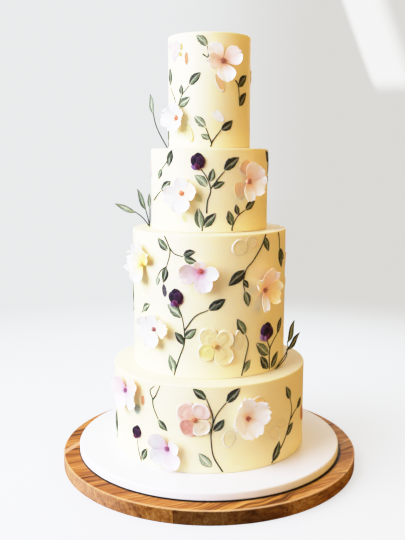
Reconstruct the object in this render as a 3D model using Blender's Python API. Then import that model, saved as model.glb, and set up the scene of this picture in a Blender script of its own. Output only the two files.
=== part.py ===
"""A four-tier wedding cake dressed with knife-painted sprigs, dabs of icing and sugar flowers.

The cake stands on a covered drum, and the drum on a round wooden board. Metres, +Z up, with the
origin at the centre of the board's underside. Angles round the cake are degrees from the front
(-Y), positive to the right as the front is seen. Heights are millimetres above a tier's foot.
"""
import math

import bmesh
import bpy
from mathutils import Matrix, Vector

MM = 0.001
GAP = 0.0003

BOARD_RADIUS = 0.200
BOARD_THICKNESS = 0.0187
BOARD_EDGE = 0.0016
DRUM_RADIUS = 0.178
DRUM_THICKNESS = 0.0107
DRUM_EDGE = 0.0022

TIER_RADII = (0.129, 0.1015, 0.0765, 0.053)
TIER_HEIGHTS = (0.111, 0.179, 0.103, 0.140)
TIER_RIM = 0.0016
FACET_DEPTH = 0.00028
SHARP_ANGLE = 35

# Painted stems, leaves and dabs. A leaf is widest nearer its base, and a dab has fuller ends.
STEM_RADIUS = 0.0012
BAR_SIDES = 4
RELIEF_ROOT = -0.0016
RELIEF_EDGE = -0.0004
LEAF_RIDGE = 0.0013
DAB_RIDGE = 0.0017
LEAF_SLIMNESS = 0.42
LEAF_LEAST_WIDTH = 0.002
LEAF_LEAN = 0.85
LEAF_FULLNESS = 1
DAB_FULLNESS = 0.6
LONG_STROKE = 0.030
STROKE_STEPS = 3
LONG_STROKE_STEPS = 4
SMALLEST_LEAF = 0.0148

# Thin petals: how far the outline has opened at the tip, and how the sheet is cupped.
PETAL_THICKNESS = 0.0012
PETAL_FOOT = 0.0030
PETAL_STAGGER = 0.0003
PETAL_LEAN = 1.1
PETAL_TIP_SHARE = 0.78
PETAL_ROUNDING = 0.10
CUP_CURVE = 1.6
CUP_SIDES = 0.55
CUP_LIP = 0.25
HEART_RADIUS = 0.0045
HEART_HEIGHT = 0.0055
HEART_SIDES = 5
HEART_TAPER = 0.7
FLAT_HEART_SHARE = 0.8
WALL_CLEARANCE = 0.0004
RELIEF_BACK = 0.0006
RELIEF_STAGGER = 0.0004
RELIEF_HOLLOW = 0.0012
RELIEF_RIM = 0.0024

WIRE_RADIUS = 0.0008
WIRE_FOOT = 0.9
WIRE_STAGGER = 0.3
BLADE_THICKNESS = 0.0009
BLADE_SLIMNESS = 0.3
BLADE_WAVE = 0.05
BLADE_CUP = 0.12
BLADE_OUTWARD = 0.3

# Sprigs in millimetres from their root: stems as points, leaves as base x, y and tip x, y.
SPRIGS = {
    "low_fork": (
        [[(0, 0), (1, 4), (-2, 13), (-6, 23)], [(1, 4), (5, 10), (13, 20)]],
        [(-6, 23, -22, 38), (-1, 9, -13, 15), (13, 20, 30, 33)]),
    "trio": (
        [[(0, 0), (6, 13), (18, 25)]],
        [(18, 25, 34, 41), (6, 14, 6, 28), (0, 0, 21, 12)]),
    "tip": ([[(0, 0), (1, 9), (0, 18)], [(-6, 9), (-3, 7), (0, 5)]], [(0, 18, -15, 32)]),
    "side_bud": ([[(0, 0), (-2, 10), (-13, 24)]], [(-14, 26, -16, 50)]),
    "drop_pair": (
        [[(0, 0), (5, -8), (7, -31)]],
        [(5, -8, 23, 8), (7, -31, 22, -13)]),
    "single": ([[(0, 0), (0, 6)]], [(0, 5, 1, 23)]),
    "hanging": (
        [[(0, 0), (-10, -15), (-19, -23)]],
        [(-1, 0, -7, -22), (-19, -23, -28, -37)]),
    "arm": ([[(0, 0), (16, 10), (21, 13)]], [(21, 13, 41, 26)]),
    "bud_stem": (
        [[(0, 0), (1, 14), (5, 28), (1, 42), (-7, 54)], [(5, 30), (14, 42), (22, 51)]],
        [(1, 32, -16, 47), (4, 38, 8, 55), (8, 30, 23, 38), (21, 52, 42, 68)]),
    "foot_pair": ([[(1, 0), (2, 5)]], [(0, 2, -4, 30), (3, 4, 19, 23)]),
    "right_rise": (
        [[(0, 0), (1, 6), (8, 18), (19, 25)]],
        [(0, 6, -5, 26), (9, 19, 5, 33), (19, 25, 37, 36)]),
    "top_trail": (
        [[(0, -2), (7, -16), (7, -26), (2, -41)], [(7, -16), (14, -23), (25, -26)],
         [(2, -40), (-6, -45), (-11, -52)]],
        [(25, -25, 42, -19), (26, -27, 44, -32), (5, -20, -11, -4), (2, -40, -3, -61),
         (-11, -52, -13, -65)]),
    "long_trail": (
        [[(0, -1), (-7, -15), (-21, -33), (-30, -42), (-34, -58), (-32, -69)]],
        [(-2, -4, 6, -23), (-31, -43, -54, -62), (-34, -55, -27, -66), (-32, -69, -27, -90)]),
    "edge_trail": (
        [[(0, -1), (3, -12), (4, -22)]],
        [(4, -22, 13, -48), (4, -22, 24, -38)]),
    "tall": (
        [[(0, 0), (7, 22), (14, 42), (14, 59), (11, 76), (6, 88)], [(14, 58), (28, 77), (44, 85)]],
        [(44, 85, 66, 99), (11, 74, -10, 90), (14, 48, 30, 62), (14, 40, 1, 56), (0, 2, -7, 27)]),
    "small_pair": (
        [[(0, 0), (5, 22), (9, 40), (5, 52)]],
        [(5, 52, -7, 74), (2, 3, 13, 20)]),
    "bushy": (
        [[(0, 0), (0, 25), (7, 35), (19, 44)], [(1, 27), (-4, 36), (-5, 42)]],
        [(19, 43, 34, 63), (-1, 20, -26, 40), (-2, 1, -18, 22), (3, 1, 22, 20)]),
    "drooping": (
        [[(0, 0), (1, -10), (8, -25)], [(0, -1), (5, 6), (11, 19)], [(0, 0), (-4, 10), (3, 17)]],
        [(8, -25, 21, -38)]),
    "bud_foot": ([[(0, 0), (-5, 13), (-7, 26)]], [(1, 1, 11, 20)]),
    "rise_fork": (
        [[(0, 0), (-11, 19), (-14, 37), (-14, 52), (-9, 70), (-2, 81), (4, 88)],
         [(-12, 60), (-13, 74), (-20, 93)]],
        [(-20, 92, -37, 106), (4, 87, 22, 106), (-12, 52, 2, 68), (-14, 50, -22, 61),
         (-13, 6, -30, 25)]),
    "right_reach": (
        [[(0, 0), (22, 22), (34, 43), (40, 59), (36, 76)], [(36, 47), (46, 54), (57, 58)]],
        [(36, 75, 25, 95), (56, 57, 73, 68), (29, 28, 45, 42), (2, 1, 14, 27)]),
    "lone_leaf": ([[(0, 0), (4, 3)]], [(3, 2, 20, 14)]),
    "edge_leaf": ([[(0, 0), (1, 8)]], [(1, 7, 2, 42)]),
}

# Where each sprig grows: tier, sprig, angle, height, and 1 or -1 for as drawn or turned over.
SPRIG_PLACES = (
    (4, "low_fork", 1, 2, 1), (4, "trio", -48, 51, 1), (4, "tip", -3, 104, 1),
    (4, "side_bud", -54, 52, 1), (4, "drop_pair", 37, 83, 1), (4, "single", -84, 3, 1),
    (3, "hanging", -37, 101, 1), (3, "arm", -69, 37, 1), (3, "bud_stem", -3, 24, 1),
    (3, "foot_pair", -8, 2, 1), (3, "right_rise", 21, 2, 1), (3, "edge_leaf", 86, 60, 1),
    (2, "top_trail", -33, 178, 1), (2, "long_trail", 43, 178, 1), (2, "edge_trail", 59, 178, 1),
    (2, "tall", -26, 2, 1), (2, "small_pair", 23, 2, 1), (2, "bushy", 49, 2, 1),
    (2, "lone_leaf", -59, 74, 1), (2, "edge_leaf", -86, 66, 1),
    (1, "drooping", -33, 88, 1), (1, "bud_foot", -42, 2, 1), (1, "rise_fork", 7, 2, 1),
    (1, "right_reach", 37, 2, 1), (1, "edge_leaf", -74, 8, 1),
    (4, "bud_stem", 128, 30, -1), (4, "trio", 176, 66, 1), (4, "low_fork", -146, 2, -1),
    (3, "tall", 118, 2, -1), (3, "right_rise", -164, 2, 1), (3, "hanging", -112, 101, -1),
    (2, "rise_fork", 112, 2, 1), (2, "long_trail", 140, 178, -1), (2, "tall", 175, 2, -1),
    (2, "bushy", -138, 2, 1), (2, "right_reach", -110, 60, -1),
    (1, "small_pair", 94, 2, -1), (1, "right_reach", 114, 2, 1), (1, "rise_fork", -176, 2, -1),
    (1, "bud_foot", -146, 2, -1), (1, "small_pair", -99, 2, 1),
)

# Dabs of icing spread on the wall: tier, angle, height, heading, length, width, in millimetres.
DAB_PLACES = (
    (4, 9, 90, 158, 24, 10), (4, -50, 119, 20, 13, 12), (4, -54, 117, 150, 12, 11),
    (4, -33, 117, 178, 15, 6), (4, -38, 32, 152, 28, 14),
    (4, 4, 46, 133, 20, 10), (4, 87, 80, 5, 20, 15),
    (3, -80, 66, 352, 20, 14), (3, 33, 72, 18, 18, 19), (3, 27, 62, 168, 22, 17),
    (2, 22, 153, 352, 21, 24), (2, 28, 163, 30, 15, 18), (2, 21, 34, 358, 28, 13),
    (2, 84, 128, 5, 19, 14),
    (1, -40, 90, 184, 14, 7), (1, 27, 79, 12, 15, 20),
    (1, 41, 52, 100, 17, 14), (1, 35, 47, 132, 24, 19), (1, 11, 50, 190, 16, 15),
    (1, 72, 56, 178, 22, 15),
    (4, 118, 104, 30, 16, 12), (3, 92, 82, 10, 16, 14), (2, 88, 92, 20, 22, 18),
    (2, -178, 118, 150, 24, 16), (1, 150, 84, 100, 20, 16), (1, -132, 64, 150, 22, 17),
)

# Sugar flowers: tier, angle, height, lean sideways, lean up, and their petals.
# Each petal is heading, reach, width and rise, in degrees and millimetres.
FLOWERS = {
    "flower_4a": (4, 17, 104, -6, 4,
                  ((63, 25, 23, 5), (168, 26, 22, 6), (268, 21, 19, 6), (320, 26, 20, 4))),
    "flower_4b": (4, -46, 37, 0, 4,
                  ((272, 25, 23, 7), (340, 20, 21, 5), (62, 15, 17, 4), (172, 18, 23, 6))),
    "flower_3a": (3, -25, 48, 0, 4,
                  ((262, 25, 22, 6), (354, 20, 20, 5), (80, 21, 21, 5), (181, 25, 26, 6))),
    "flower_3b": (3, 36, 62, 4, 2, ((28, 24, 30, 9), (108, 25, 28, 8), (190, 25, 19, 7))),
    "flower_2a": (2, -53, 138, 0, 4,
                  ((276, 30, 27, 7), (340, 29, 22, 7), (50, 22, 18, 6), (200, 26, 26, 7))),
    "flower_2b": (2, -6, 136, 0, -4,
                  ((258, 28, 24, 6), (168, 27, 22, 7), (99, 23, 17, 6), (350, 14, 15, 5))),
    "flower_2c": (2, 40, 108, 3, 2,
                  ((25, 29, 25, 8), (303, 21, 16, 6), (105, 24, 29, 9), (191, 27, 13, 6))),
    "flower_2d": (2, -41, 58, 0, 2,
                  ((270, 28, 28, 7), (345, 20, 20, 5), (80, 26, 23, 5), (184, 24, 24, 6))),
    "flower_1a": (1, -53, 90, 0, 2,
                  ((285, 28, 25, 7), (66, 30, 23, 3), (205, 28, 25, 6), (124, 30, 22, 3))),
    "flower_1b": (1, -23, 30, 0, -2,
                  ((300, 27, 22, 5), (226, 28, 24, 5), (156, 28, 25, 6), (70, 18, 18, 6))),
    "flower_1d": (1, 20, 69, 4, 3,
                  ((346, 28, 25, 9), (74, 30, 30, 7), (160, 26, 32, 6), (252, 22, 25, 6))),
    "flower_4c": (4, 172, 108, 2, 2,
                  ((20, 24, 22, 5), (110, 25, 20, 5), (200, 22, 20, 5), (300, 24, 19, 5))),
    "flower_4d": (4, -156, 62, 0, 4,
                  ((20, 22, 22, 6), (110, 25, 23, 6), (200, 22, 21, 6), (285, 25, 20, 6))),
    "flower_3c": (3, 153, 66, 0, 2,
                  ((10, 23, 24, 6), (95, 24, 22, 7), (185, 25, 25, 6), (275, 23, 21, 6))),
    "flower_3d": (3, -138, 46, -4, 2, ((45, 25, 24, 7), (150, 24, 22, 6), (255, 25, 28, 7))),
    "flower_2f": (2, 130, 142, 2, 3,
                  ((60, 27, 24, 5), (150, 28, 24, 5), (240, 26, 22, 5), (330, 27, 23, 5))),
    "flower_2g": (2, 148, 82, 0, -3,
                  ((30, 26, 24, 6), (125, 28, 25, 7), (215, 24, 22, 6), (300, 26, 23, 6))),
    "flower_2i": (2, -124, 142, -3, 2,
                  ((15, 25, 22, 6), (100, 26, 24, 7), (190, 28, 24, 6), (280, 27, 25, 7))),
    "flower_1e": (1, 122, 72, 2, 3,
                  ((40, 27, 25, 4), (135, 26, 24, 4), (230, 27, 24, 4), (315, 24, 21, 4))),
    "flower_1g": (1, -154, 76, 0, 2,
                  ((5, 25, 24, 6), (92, 28, 24, 6), (178, 26, 26, 7), (268, 26, 22, 6))),
    "flower_1h": (1, -124, 76, -2, 2,
                  ((55, 25, 22, 4), (145, 27, 25, 4), (250, 28, 24, 5), (335, 24, 22, 4))),
}

# Flowers spread flat on the wall, with thick raised rims.
RELIEF_FLOWERS = {
    "flower_2e": (2, 4, 42, ((323, 25, 23), (54, 24, 22), (236, 23, 21), (141, 27, 24))),
    "flower_1c": (1, -8, 69, ((309, 26, 24), (35, 23, 22), (218, 24, 22), (141, 23, 20))),
    "flower_1f": (1, 158, 42, ((340, 25, 23), (70, 24, 22), (160, 26, 24), (250, 24, 22))),
}

# Dark pansy buds: tier, angle, height, the heading of the crown, and size against a full bud.
BUDS = {
    "bud_3a": (3, -11, 87, -8, 1), "bud_2a": (2, -24, 101, -18, 1.08), "bud_2b": (2, 45, 53, 6, 1.08),
    "bud_1a": (1, -45, 39, -6, 0.82), "bud_4b": (4, 137, 93, 12, 1), "bud_2c": (2, -146, 66, -10, 1),
    "bud_1b": (1, -143, 39, 8, 1),
}
BUD_WIDTH = 0.0225
BUD_LENGTH = 0.0216
BUD_DEPTH = 0.0065
BUD_NOTCH = 0.0025
BUD_FOOT_SHARE = 0.6
NOTCH_SHARE = 1 / 8

# Sprigs that stand clear of the cake, on the ledge at a tier's foot: tier, the foot's angle and
# distance off the wall, stems and leaves. A point is angle, height and distance off the wall.
FREE_SPRIGS = {
    "spray_4": (4, -86, 2, [[(-87, 17, 11), (-87, 31, 17), (-86, 45, 20)]],
                [((-86, 44, 20), (-86, 70, 24))]),
    "spray_3": (3, -86, 3, [[(-85, 13, 12), (-84, 21, 22)], [(-84, 12, 5), (-85, 24, 8)],
                            [(-82, 14, 2.5), (-81, 27, 2.5)]],
                [((-84, 20, 21), (-83, 32, 49)), ((-85, 23, 7.5), (-86, 51, 19)),
                 ((-81, 26, 2.5), (-79, 46, 4))]),
    "spray_2": (2, 55, 3.4, [[(63, 5, 4.6), (72, 10, 6), (80, 16, 6.5)]],
                [((80, 15, 6.5), (88, 52, 15)), ((80, 13, 6.5), (88, 36, 24))]),
    "spray_3_back": (3, 131, 2, [[(129, 14, 8), (128, 26, 14)], [(135, 14, 6), (137, 26, 8)]],
                     [((128, 25, 14), (127, 50, 21)), ((137, 25, 8), (139, 48, 12))]),
    "spray_2_back": (2, -126, 2, [[(-130, 10, 5), (-134, 20, 8)], [(-124, 12, 5), (-124, 22, 8)]],
                     [((-134, 19, 8), (-139, 42, 14)), ((-124, 21, 8), (-122, 46, 15))]),
}

# Red, green, blue and roughness of each finish.
COLOURS = {
    "board_wood": (0.56, 0.30, 0.11, 0.45), "drum_white": (0.93, 0.93, 0.92, 0.55),
    "icing": (0.93, 0.86, 0.68, 0.5), "leaf": (0.13, 0.19, 0.10, 0.5), "bud": (0.16, 0.02, 0.13, 0.45),
    "petal": (0.96, 0.88, 0.86, 0.55), "relief_petal": (0.93, 0.80, 0.66, 0.5),
}


def clear_scene():
    """Start from an empty scene."""
    for thing in list(bpy.data.objects):
        bpy.data.objects.remove(thing, do_unlink=True)


def tier_table():
    """Each tier's radius, foot and height, stacked from the drum's top."""
    table = {}
    foot = BOARD_THICKNESS + DRUM_THICKNESS + 2 * GAP
    for number, (radius, height) in enumerate(zip(TIER_RADII, TIER_HEIGHTS), start=1):
        table[number] = (radius, foot, height - GAP)
        foot += height
    return table


TIERS = tier_table()


def wall_point(tier, angle, height, lift):
    """A point on a tier's wall, or lifted off it. Height and lift are in metres."""
    radius, foot, _ = TIERS[tier]
    turn = math.radians(angle)
    reach = radius + lift
    return Vector((reach * math.sin(turn), -reach * math.cos(turn), foot + height))


def wrap(bm, tier, angle, height):
    """Bend a flat relief round a tier: x runs along the wall, y up, z off it."""
    radius = TIERS[tier][0]
    for vert in bm.verts:
        turn = angle + math.degrees(vert.co.x / radius)
        vert.co = wall_point(tier, turn, height + vert.co.y, vert.co.z)


def heading_turn(heading):
    """Rotation that lays +X along a compass heading, clockwise from +Y."""
    return Matrix.Rotation(math.radians(90 - heading), 4, "Z")


def material(name):
    """A plain finish of the named part of the cake."""
    finish = bpy.data.materials.get(name) or bpy.data.materials.new(name)
    red, green, blue, rough = COLOURS[name]
    finish.use_nodes = True
    shader = finish.node_tree.nodes["Principled BSDF"]
    shader.inputs["Base Color"].default_value = (red, green, blue, 1)
    shader.inputs["Roughness"].default_value = rough
    shader.inputs["Metallic"].default_value = 0
    return finish


def new_object(name, bm, finish):
    """Turn a bmesh into an object in the scene."""
    bmesh.ops.recalc_face_normals(bm, faces=bm.faces)
    mesh = bpy.data.meshes.new(name)
    bm.to_mesh(mesh)
    bm.free()
    mesh.materials.append(material(finish))
    thing = bpy.data.objects.new(name, mesh)
    bpy.context.scene.collection.objects.link(thing)
    return thing


def sides_for(radius):
    """How many flat sides keep a round wall within the facet depth of true."""
    half_turn = math.acos(1 - FACET_DEPTH / radius)
    return 4 * math.ceil(math.pi / half_turn / 4)


def round_slab(name, radius, foot, height, edge, finish):
    """A round disc or tier with a softened top edge."""
    sides = sides_for(radius)
    bm = bmesh.new()
    bmesh.ops.create_cone(bm, cap_ends=True, segments=sides, radius1=radius, radius2=radius, depth=height)
    bmesh.ops.translate(bm, verts=bm.verts, vec=(0, 0, foot + height / 2))
    top = foot + height
    rim = [one for one in bm.edges if all(abs(vert.co.z - top) < GAP for vert in one.verts)]
    bmesh.ops.bevel(bm, geom=rim, offset=edge, segments=1, profile=0.5, affect="EDGES", material=-1)
    slab = new_object(name, bm, finish)
    slab.data.shade_smooth()
    slab.data.set_sharp_from_angle(angle=math.radians(SHARP_ANGLE))
    return slab


def smooth_path(points, steps):
    """Points along a smooth curve through the given ones."""
    ends = [points[0] * 2 - points[1]] + list(points) + [points[-1] * 2 - points[-2]]
    path = []
    for before, start, end, after in zip(ends, ends[1:], ends[2:], ends[3:]):
        for step in range(steps):
            t = step / steps
            pull = (end - before) * t + (2 * before - 5 * start + 4 * end - after) * t * t
            path.append(start + 0.5 * (pull + (3 * start - before - 3 * end + after) * t ** 3))
    return path + [points[-1]]


def tube(points, radius, sides):
    """A capped round bar along a path, made by extruding its end face."""
    bm = bmesh.new()
    bmesh.ops.create_circle(bm, cap_ends=True, segments=sides, radius=radius)
    end = bm.faces[:]
    heading = Vector((0, 0, 1))
    place = Vector((0, 0, 0))
    for index, point in enumerate(points):
        ahead = points[min(index + 1, len(points) - 1)] - points[max(index - 1, 0)]
        turn = heading.rotation_difference(ahead).to_matrix()
        if index:
            made = bmesh.ops.extrude_face_region(bm, geom=end)["geom"]
            if index > 1:
                bmesh.ops.delete(bm, geom=end, context="FACES_ONLY")
            end = [one for one in made if isinstance(one, bmesh.types.BMFace)]
        ring = list({vert for face in end for vert in face.verts})
        for vert in ring:
            vert.co = point + turn @ (vert.co - place)
        heading = ahead
        place = point
    return bm


def stem_relief(stem, tier, angle, height, side):
    """A thin piped stem, half sunk in the wall."""
    steps = 2 if len(stem) == 3 else 1
    path = smooth_path([Vector((side * x, y, 0)) * MM for x, y in stem], steps)
    bm = tube(path, STEM_RADIUS, BAR_SIDES)
    wrap(bm, tier, angle, height)
    return bm


def leaf_spread(along, fullness):
    """How wide a stroke is, as a share of its full width, from its start at 0 to its end at 1."""
    return math.sin(math.pi * along ** LEAF_LEAN) ** fullness if 0 < along < 1 else 0


def petal_spread(along):
    """How wide a petal is, as a share of its full width, from its foot at 0 to its tip at 1."""
    return math.sin(math.pi * along ** PETAL_LEAN * PETAL_TIP_SHARE)


def knife_dab(length, width, ridge, fullness):
    """A stroke of icing along +X: its edge sinks into the wall, and its back is ridged."""
    bm = bmesh.new()
    steps = LONG_STROKE_STEPS if length > LONG_STROKE else STROKE_STEPS
    bmesh.ops.create_grid(bm, x_segments=steps, y_segments=2, size=1)
    for vert in bm.verts:
        along = (vert.co.x + 1) / 2
        vert.co = Vector((along * length, vert.co.y * leaf_spread(along, fullness) * width / 2, RELIEF_ROOT))
    bmesh.ops.remove_doubles(bm, verts=bm.verts, dist=MM / 10)
    made = bmesh.ops.extrude_face_region(bm, geom=bm.faces[:])["geom"]
    for vert in [one for one in made if isinstance(one, bmesh.types.BMVert)]:
        inside = abs(vert.co.y) < MM / 10 and MM < vert.co.x < length - MM
        vert.co.z = ridge if inside else RELIEF_EDGE
    bmesh.ops.triangulate(bm, faces=bm.faces[:])
    return bm


def leaf_length(leaf):
    """How long a leaf is, in metres."""
    return math.hypot(leaf[2] - leaf[0], leaf[3] - leaf[1]) * MM


def leaf_relief(leaf, tier, angle, height, side):
    """One painted leaf from its base to its tip."""
    base = Vector((side * leaf[0], leaf[1], 0)) * MM
    tip = Vector((side * leaf[2], leaf[3], 0)) * MM
    length = (tip - base).length
    bm = knife_dab(length, length * LEAF_SLIMNESS + LEAF_LEAST_WIDTH, LEAF_RIDGE, LEAF_FULLNESS)
    turn = Vector((1, 0, 0)).rotation_difference(tip - base).to_matrix().to_4x4()
    bmesh.ops.transform(bm, matrix=Matrix.Translation(base) @ turn, verts=bm.verts)
    wrap(bm, tier, angle, height)
    return bm


def dab_relief(tier, angle, height, heading, length, width):
    """One loose petal of icing, spread on the wall."""
    bm = knife_dab(length * MM, width * MM, DAB_RIDGE, DAB_FULLNESS)
    bmesh.ops.transform(bm, matrix=heading_turn(heading), verts=bm.verts)
    wrap(bm, tier, angle, height * MM)
    return bm


def union(base, pieces):
    """Join pieces to a base by one Boolean union, applied."""
    group = bpy.data.collections.new(base.name + "_parts")
    for piece in pieces:
        bpy.context.scene.collection.objects.unlink(piece)
        group.objects.link(piece)
    join = base.modifiers.new("join", "BOOLEAN")
    join.operation = "UNION"
    join.operand_type = "COLLECTION"
    join.collection = group
    join.solver = "EXACT"
    whole = bpy.data.meshes.new_from_object(base.evaluated_get(bpy.context.evaluated_depsgraph_get()))
    base.modifiers.clear()
    base.data = whole
    for piece in pieces:
        bpy.data.objects.remove(piece, do_unlink=True)
    bpy.data.collections.remove(group)
    return base


def build_tier(number):
    """One tier with the sprigs and dabs that grow on its wall."""
    radius, foot, height = TIERS[number]
    name = "tier_%d" % number
    body = round_slab(name, radius, foot, height, TIER_RIM, "icing")
    reliefs = []
    for tier, sprig, angle, root, side in SPRIG_PLACES:
        if tier == number:
            stems, leaves = SPRIGS[sprig]
            grown = [leaf for leaf in leaves if leaf_length(leaf) > SMALLEST_LEAF]
            reliefs += [stem_relief(stem, tier, angle, root * MM, side) for stem in stems]
            reliefs += [leaf_relief(leaf, tier, angle, root * MM, side) for leaf in grown]
    reliefs += [dab_relief(*dab) for dab in DAB_PLACES if dab[0] == number]
    pieces = [new_object("relief", bm, "leaf") for bm in reliefs]
    return union(body, pieces)


def thicken(bm, thickness):
    """Give a thin sheet a second face, which meets the first at its edge."""
    bmesh.ops.triangulate(bm, faces=bm.faces[:])
    edge = {vert for one in bm.edges if one.is_boundary for vert in one.verts}
    inner = [tuple(vert.co) for vert in bm.verts if vert not in edge]
    made = bmesh.ops.duplicate(bm, geom=bm.faces[:])["geom"]
    bmesh.ops.reverse_faces(bm, faces=[one for one in made if isinstance(one, bmesh.types.BMFace)])
    for vert in [one for one in made if isinstance(one, bmesh.types.BMVert)]:
        if tuple(vert.co) in inner:
            vert.co.z -= thickness
    bmesh.ops.remove_doubles(bm, verts=bm.verts, dist=MM / 100)


def petal(reach, width, rise, foot, heading):
    """A thin cupped petal that leaves the heart of a flower."""
    bm = bmesh.new()
    bmesh.ops.create_grid(bm, x_segments=3, y_segments=2, size=1)
    for vert in bm.verts:
        along = (vert.co.x + 1) / 2
        across = vert.co.y
        lift = rise * (along ** CUP_CURVE + CUP_SIDES * across * across * along - CUP_LIP * along ** 4)
        pull = 1 - PETAL_ROUNDING * abs(across) * along
        vert.co = Vector((along * reach * pull, across * petal_spread(along) * width / 2, foot + lift))
    bmesh.ops.remove_doubles(bm, verts=bm.verts, dist=MM / 10)
    thicken(bm, PETAL_THICKNESS)
    bmesh.ops.transform(bm, matrix=heading_turn(heading), verts=bm.verts)
    return bm


def heart(radius, height):
    """The stamens at a flower's middle, and the foot that holds it to the wall."""
    bm = bmesh.new()
    bmesh.ops.create_cone(bm, cap_ends=True, segments=HEART_SIDES, radius1=radius,
                          radius2=radius * HEART_TAPER, depth=height)
    bmesh.ops.translate(bm, verts=bm.verts, vec=(0, 0, WALL_CLEARANCE + height / 2))
    return bm


def stand_on_wall(thing, tier, angle, height, lean_side, lean_up):
    """Face a flower outwards from the wall, leaning a little."""
    facing = Matrix.Rotation(math.radians(angle), 4, "Z") @ Matrix.Rotation(math.radians(90), 4, "X")
    lean = Matrix.Rotation(math.radians(lean_side), 4, "Y") @ Matrix.Rotation(math.radians(-lean_up), 4, "X")
    thing.matrix_world = Matrix.Translation(wall_point(tier, angle, height * MM, 0)) @ facing @ lean


def sugar_flower(name, tier, angle, height, lean_side, lean_up, petals):
    """A flower of separate thin petals round a heart."""
    core = new_object(name, heart(HEART_RADIUS, HEART_HEIGHT), "petal")
    pieces = []
    for index, (heading, reach, width, rise) in enumerate(petals):
        bm = petal(reach * MM, width * MM, rise * MM, PETAL_FOOT + index * PETAL_STAGGER, heading)
        pieces.append(new_object("petal", bm, "petal"))
    flower = union(core, pieces)
    steepest = math.radians(max(abs(lean_side), abs(lean_up)))
    flower.data.transform(Matrix.Translation((0, 0, 2 * HEART_RADIUS * math.sin(steepest))))
    stand_on_wall(flower, tier, angle, height, lean_side, lean_up)


def pansy_bud(name, tier, angle, height, heading, size):
    """A plump dark bud with a notched crown, narrower at its foot."""
    bm = bmesh.new()
    bmesh.ops.create_icosphere(bm, subdivisions=2, radius=1)
    width, length = BUD_WIDTH * size, BUD_LENGTH * size
    for vert in bm.verts:
        crown = (vert.co.y + 1) / 2
        vert.co.x *= width / 2 * (BUD_FOOT_SHARE + (1 - BUD_FOOT_SHARE) * crown)
        notch = BUD_NOTCH * max(0, 2 * crown - 1) if abs(vert.co.x) < width * NOTCH_SHARE else 0
        vert.co.y = vert.co.y * length / 2 - notch
        vert.co.z = WALL_CLEARANCE + (vert.co.z + 1) * BUD_DEPTH / 2
    bmesh.ops.rotate(bm, verts=bm.verts, matrix=Matrix.Rotation(math.radians(-heading), 3, "Z"))
    bud = new_object(name, bm, "bud")
    stand_on_wall(bud, tier, angle, height, 0, 0)


def thick_petal(reach, width, level):
    """A petal of spread icing with a raised rim and a hollow middle."""
    bm = bmesh.new()
    bmesh.ops.create_grid(bm, x_segments=3, y_segments=2, size=1)
    for vert in bm.verts:
        along = (vert.co.x + 1) / 2
        out = along * reach * (1 - PETAL_ROUNDING * abs(vert.co.y))
        vert.co = Vector((out, vert.co.y * petal_spread(along) * width / 2, level))
    bmesh.ops.remove_doubles(bm, verts=bm.verts, dist=MM / 10)
    made = bmesh.ops.extrude_face_region(bm, geom=bm.faces[:])["geom"]
    tops = [one for one in made if isinstance(one, bmesh.types.BMVert)]
    for vert in tops:
        edge = abs(vert.co.y) / (width / 2)
        out = vert.co.x / reach
        vert.co.z += RELIEF_HOLLOW + RELIEF_RIM * max(edge ** 2, out ** 3) * out
    bmesh.ops.triangulate(bm, faces=bm.faces[:])
    return bm


def relief_flower(name, tier, angle, height, petals):
    """A flower spread on the wall, its petals lapping over each other."""
    bm = heart(HEART_RADIUS, HEART_HEIGHT * FLAT_HEART_SHARE)
    wrap(bm, tier, angle, height * MM)
    core = new_object(name, bm, "relief_petal")
    pieces = []
    for index, (heading, reach, width) in enumerate(petals):
        bm = thick_petal(reach * MM, width * MM, RELIEF_BACK + index * RELIEF_STAGGER)
        bmesh.ops.transform(bm, matrix=heading_turn(heading), verts=bm.verts)
        wrap(bm, tier, angle, height * MM)
        pieces.append(new_object("petal", bm, "relief_petal"))
    return union(core, pieces)


def blade(base, tip):
    """A thin wavy leaf that stands free, from its base to its tip."""
    bm = bmesh.new()
    bmesh.ops.create_grid(bm, x_segments=4, y_segments=2, size=1)
    length = (tip - base).length
    width = length * BLADE_SLIMNESS
    for vert in bm.verts:
        along = (vert.co.x + 1) / 2
        spread = leaf_spread(along, LEAF_FULLNESS)
        cup = BLADE_CUP * width * abs(vert.co.y) * spread
        wave = BLADE_WAVE * length * math.sin(2 * math.pi * along) + cup
        vert.co = Vector((along * length, vert.co.y * (spread * width / 2), wave))
    bmesh.ops.remove_doubles(bm, verts=bm.verts, dist=MM / 10)
    thicken(bm, BLADE_THICKNESS)
    ahead = (tip - base).normalized()
    outward = Vector((base.x, base.y, 0)).normalized()
    across = Vector((0, -1, 0)).lerp(outward, BLADE_OUTWARD).cross(ahead).normalized()
    facing = ahead.cross(across)
    frame = Matrix((ahead, across, facing)).transposed().to_4x4()
    bmesh.ops.transform(bm, matrix=Matrix.Translation(base) @ frame, verts=bm.verts)
    return bm


def free_sprig(name, tier, foot_angle, foot_out, stems, leaves):
    """Wired leaves that stand on the ledge at a tier's foot."""
    wires = []
    for index, stem in enumerate(stems):
        foot = (foot_angle, WIRE_FOOT + index * WIRE_STAGGER, foot_out)
        path = [wall_point(tier, angle, height * MM, out * MM) for angle, height, out in [foot] + stem]
        wires.append(new_object(name, tube(smooth_path(path, 2), WIRE_RADIUS, BAR_SIDES), "leaf"))
    blades = []
    for ends in leaves:
        base, tip = [wall_point(tier, angle, height * MM, out * MM) for angle, height, out in ends]
        blades.append(new_object("blade", blade(base, tip), "leaf"))
    return union(wires[0], wires[1:] + blades)


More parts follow.
